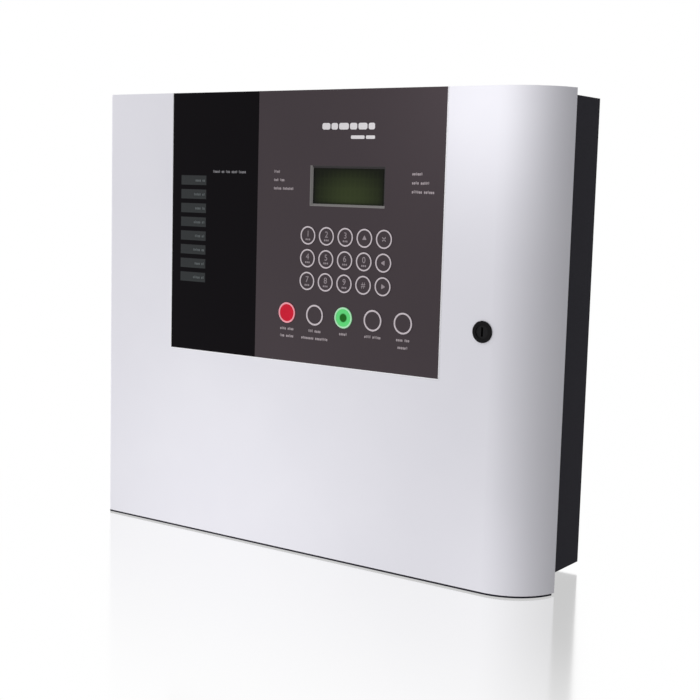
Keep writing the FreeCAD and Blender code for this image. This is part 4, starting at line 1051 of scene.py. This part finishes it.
# %% World and lamps
def studio_world():
    """White where it is seen or mirrored. As a light it comes mostly from the front and the left."""
    world = bpy.data.worlds.new("studio")
    world.use_nodes = True
    bpy.context.scene.world = world
    nodes, links = world.node_tree.nodes, world.node_tree.links
    nodes.clear()

    def add(kind, **settings):
        made = nodes.new(kind)
        for label, value in settings.items():
            setattr(made, label, value)
        return made

    place = add("ShaderNodeTexCoord")
    dot = add("ShaderNodeVectorMath", operation="DOT_PRODUCT")
    dot.inputs[1].default_value = (-0.70, -0.70, 0.1)
    fade = add("ShaderNodeMapRange", interpolation_type="SMOOTHSTEP")
    for label, value in {"From Min": 0.0, "From Max": 0.9, "To Min": 0.31, "To Max": 0.985}.items():
        fade.inputs[label].default_value = value
    soft = add("ShaderNodeBackground")
    white = add("ShaderNodeBackground")
    path = add("ShaderNodeLightPath")
    seen = add("ShaderNodeMath", operation="MAXIMUM")
    choose = add("ShaderNodeMixShader")
    output = add("ShaderNodeOutputWorld")
    links.new(place.outputs["Generated"], dot.inputs[0])
    links.new(dot.outputs["Value"], fade.inputs["Value"])
    links.new(fade.outputs[0], soft.inputs["Strength"])
    links.new(path.outputs["Is Camera Ray"], seen.inputs[0])
    links.new(path.outputs["Is Glossy Ray"], seen.inputs[1])
    links.new(seen.outputs[0], choose.inputs[0])
    links.new(soft.outputs[0], choose.inputs[1])
    links.new(white.outputs[0], choose.inputs[2])
    links.new(choose.outputs[0], output.inputs[0])
    soft.inputs["Color"].default_value = (0.985, 0.985, 1.0, 1.0)
    white.inputs["Color"].default_value = (1.0, 1.0, 1.0, 1.0)
    white.inputs["Strength"].default_value = 1.0


def lamp(name, place, size, power):
    """A square soft box at a place, turned to the door. It lights things but isn't seen in them."""
    light = bpy.data.lights.new(name, "AREA")
    light.size = size
    light.energy = power
    made = bpy.data.objects.new(name, light)
    bpy.context.collection.objects.link(made)
    made.location = place
    made.rotation_euler = (math.radians(90), 0.0, 0.0)
    made.visible_camera = False
    made.visible_glossy = False


studio_world()
lamp("upper_right_box", place=(0.15, -0.18, 0.17), size=0.10, power=0.036)
lamp("low_right_box", place=(0.20, -0.18, -0.165), size=0.05, power=0.010)
lamp("low_left_box", place=(-0.08, -0.35, -0.165), size=0.15, power=0.20)
lamp("upper_left_box", place=(-0.30, -0.35, 0.25), size=0.15, power=0.11)
bpy.context.scene.view_settings.view_transform = "Standard"

# %% [markdown]
# ## Camera
#
# The panel is seen from the right and a little above, from about a metre away, so the rolled edge and the
# side of the box both show. The camera is placed by angles about the panel, because those are what a viewer
# can judge.

# %% Camera
view_target = Vector((47.3, -101.0, -15.0)) * mm
view_distance = 942.0 * mm
view_azimuth = math.radians(34.91)
view_elevation = math.radians(6.97)
view_roll = math.radians(1.56)
view_lens = 67.9


def photographer():
    """A camera that looks at the target from two angles, tilted a little about its own axis."""
    back = Vector((math.sin(view_azimuth) * math.cos(view_elevation),
                   -math.cos(view_azimuth) * math.cos(view_elevation), math.sin(view_elevation)))
    level = Vector((math.cos(view_azimuth), math.sin(view_azimuth), 0.0))
    above = back.cross(level)
    right = level * math.cos(view_roll) + above * math.sin(view_roll)
    up = back.cross(right)
    data = bpy.data.cameras.new("camera")
    data.lens = view_lens
    data.sensor_width = 36.0
    data.clip_start = 0.01
    data.clip_end = 50.0
    made = bpy.data.objects.new("camera", data)
    bpy.context.collection.objects.link(made)
    made.rotation_mode = "QUATERNION"
    made.location = view_target + back * view_distance
    made.rotation_quaternion = Matrix((right, up, back)).transposed().to_quaternion()
    bpy.context.scene.camera = made


photographer()
print("camera lens:", view_lens)
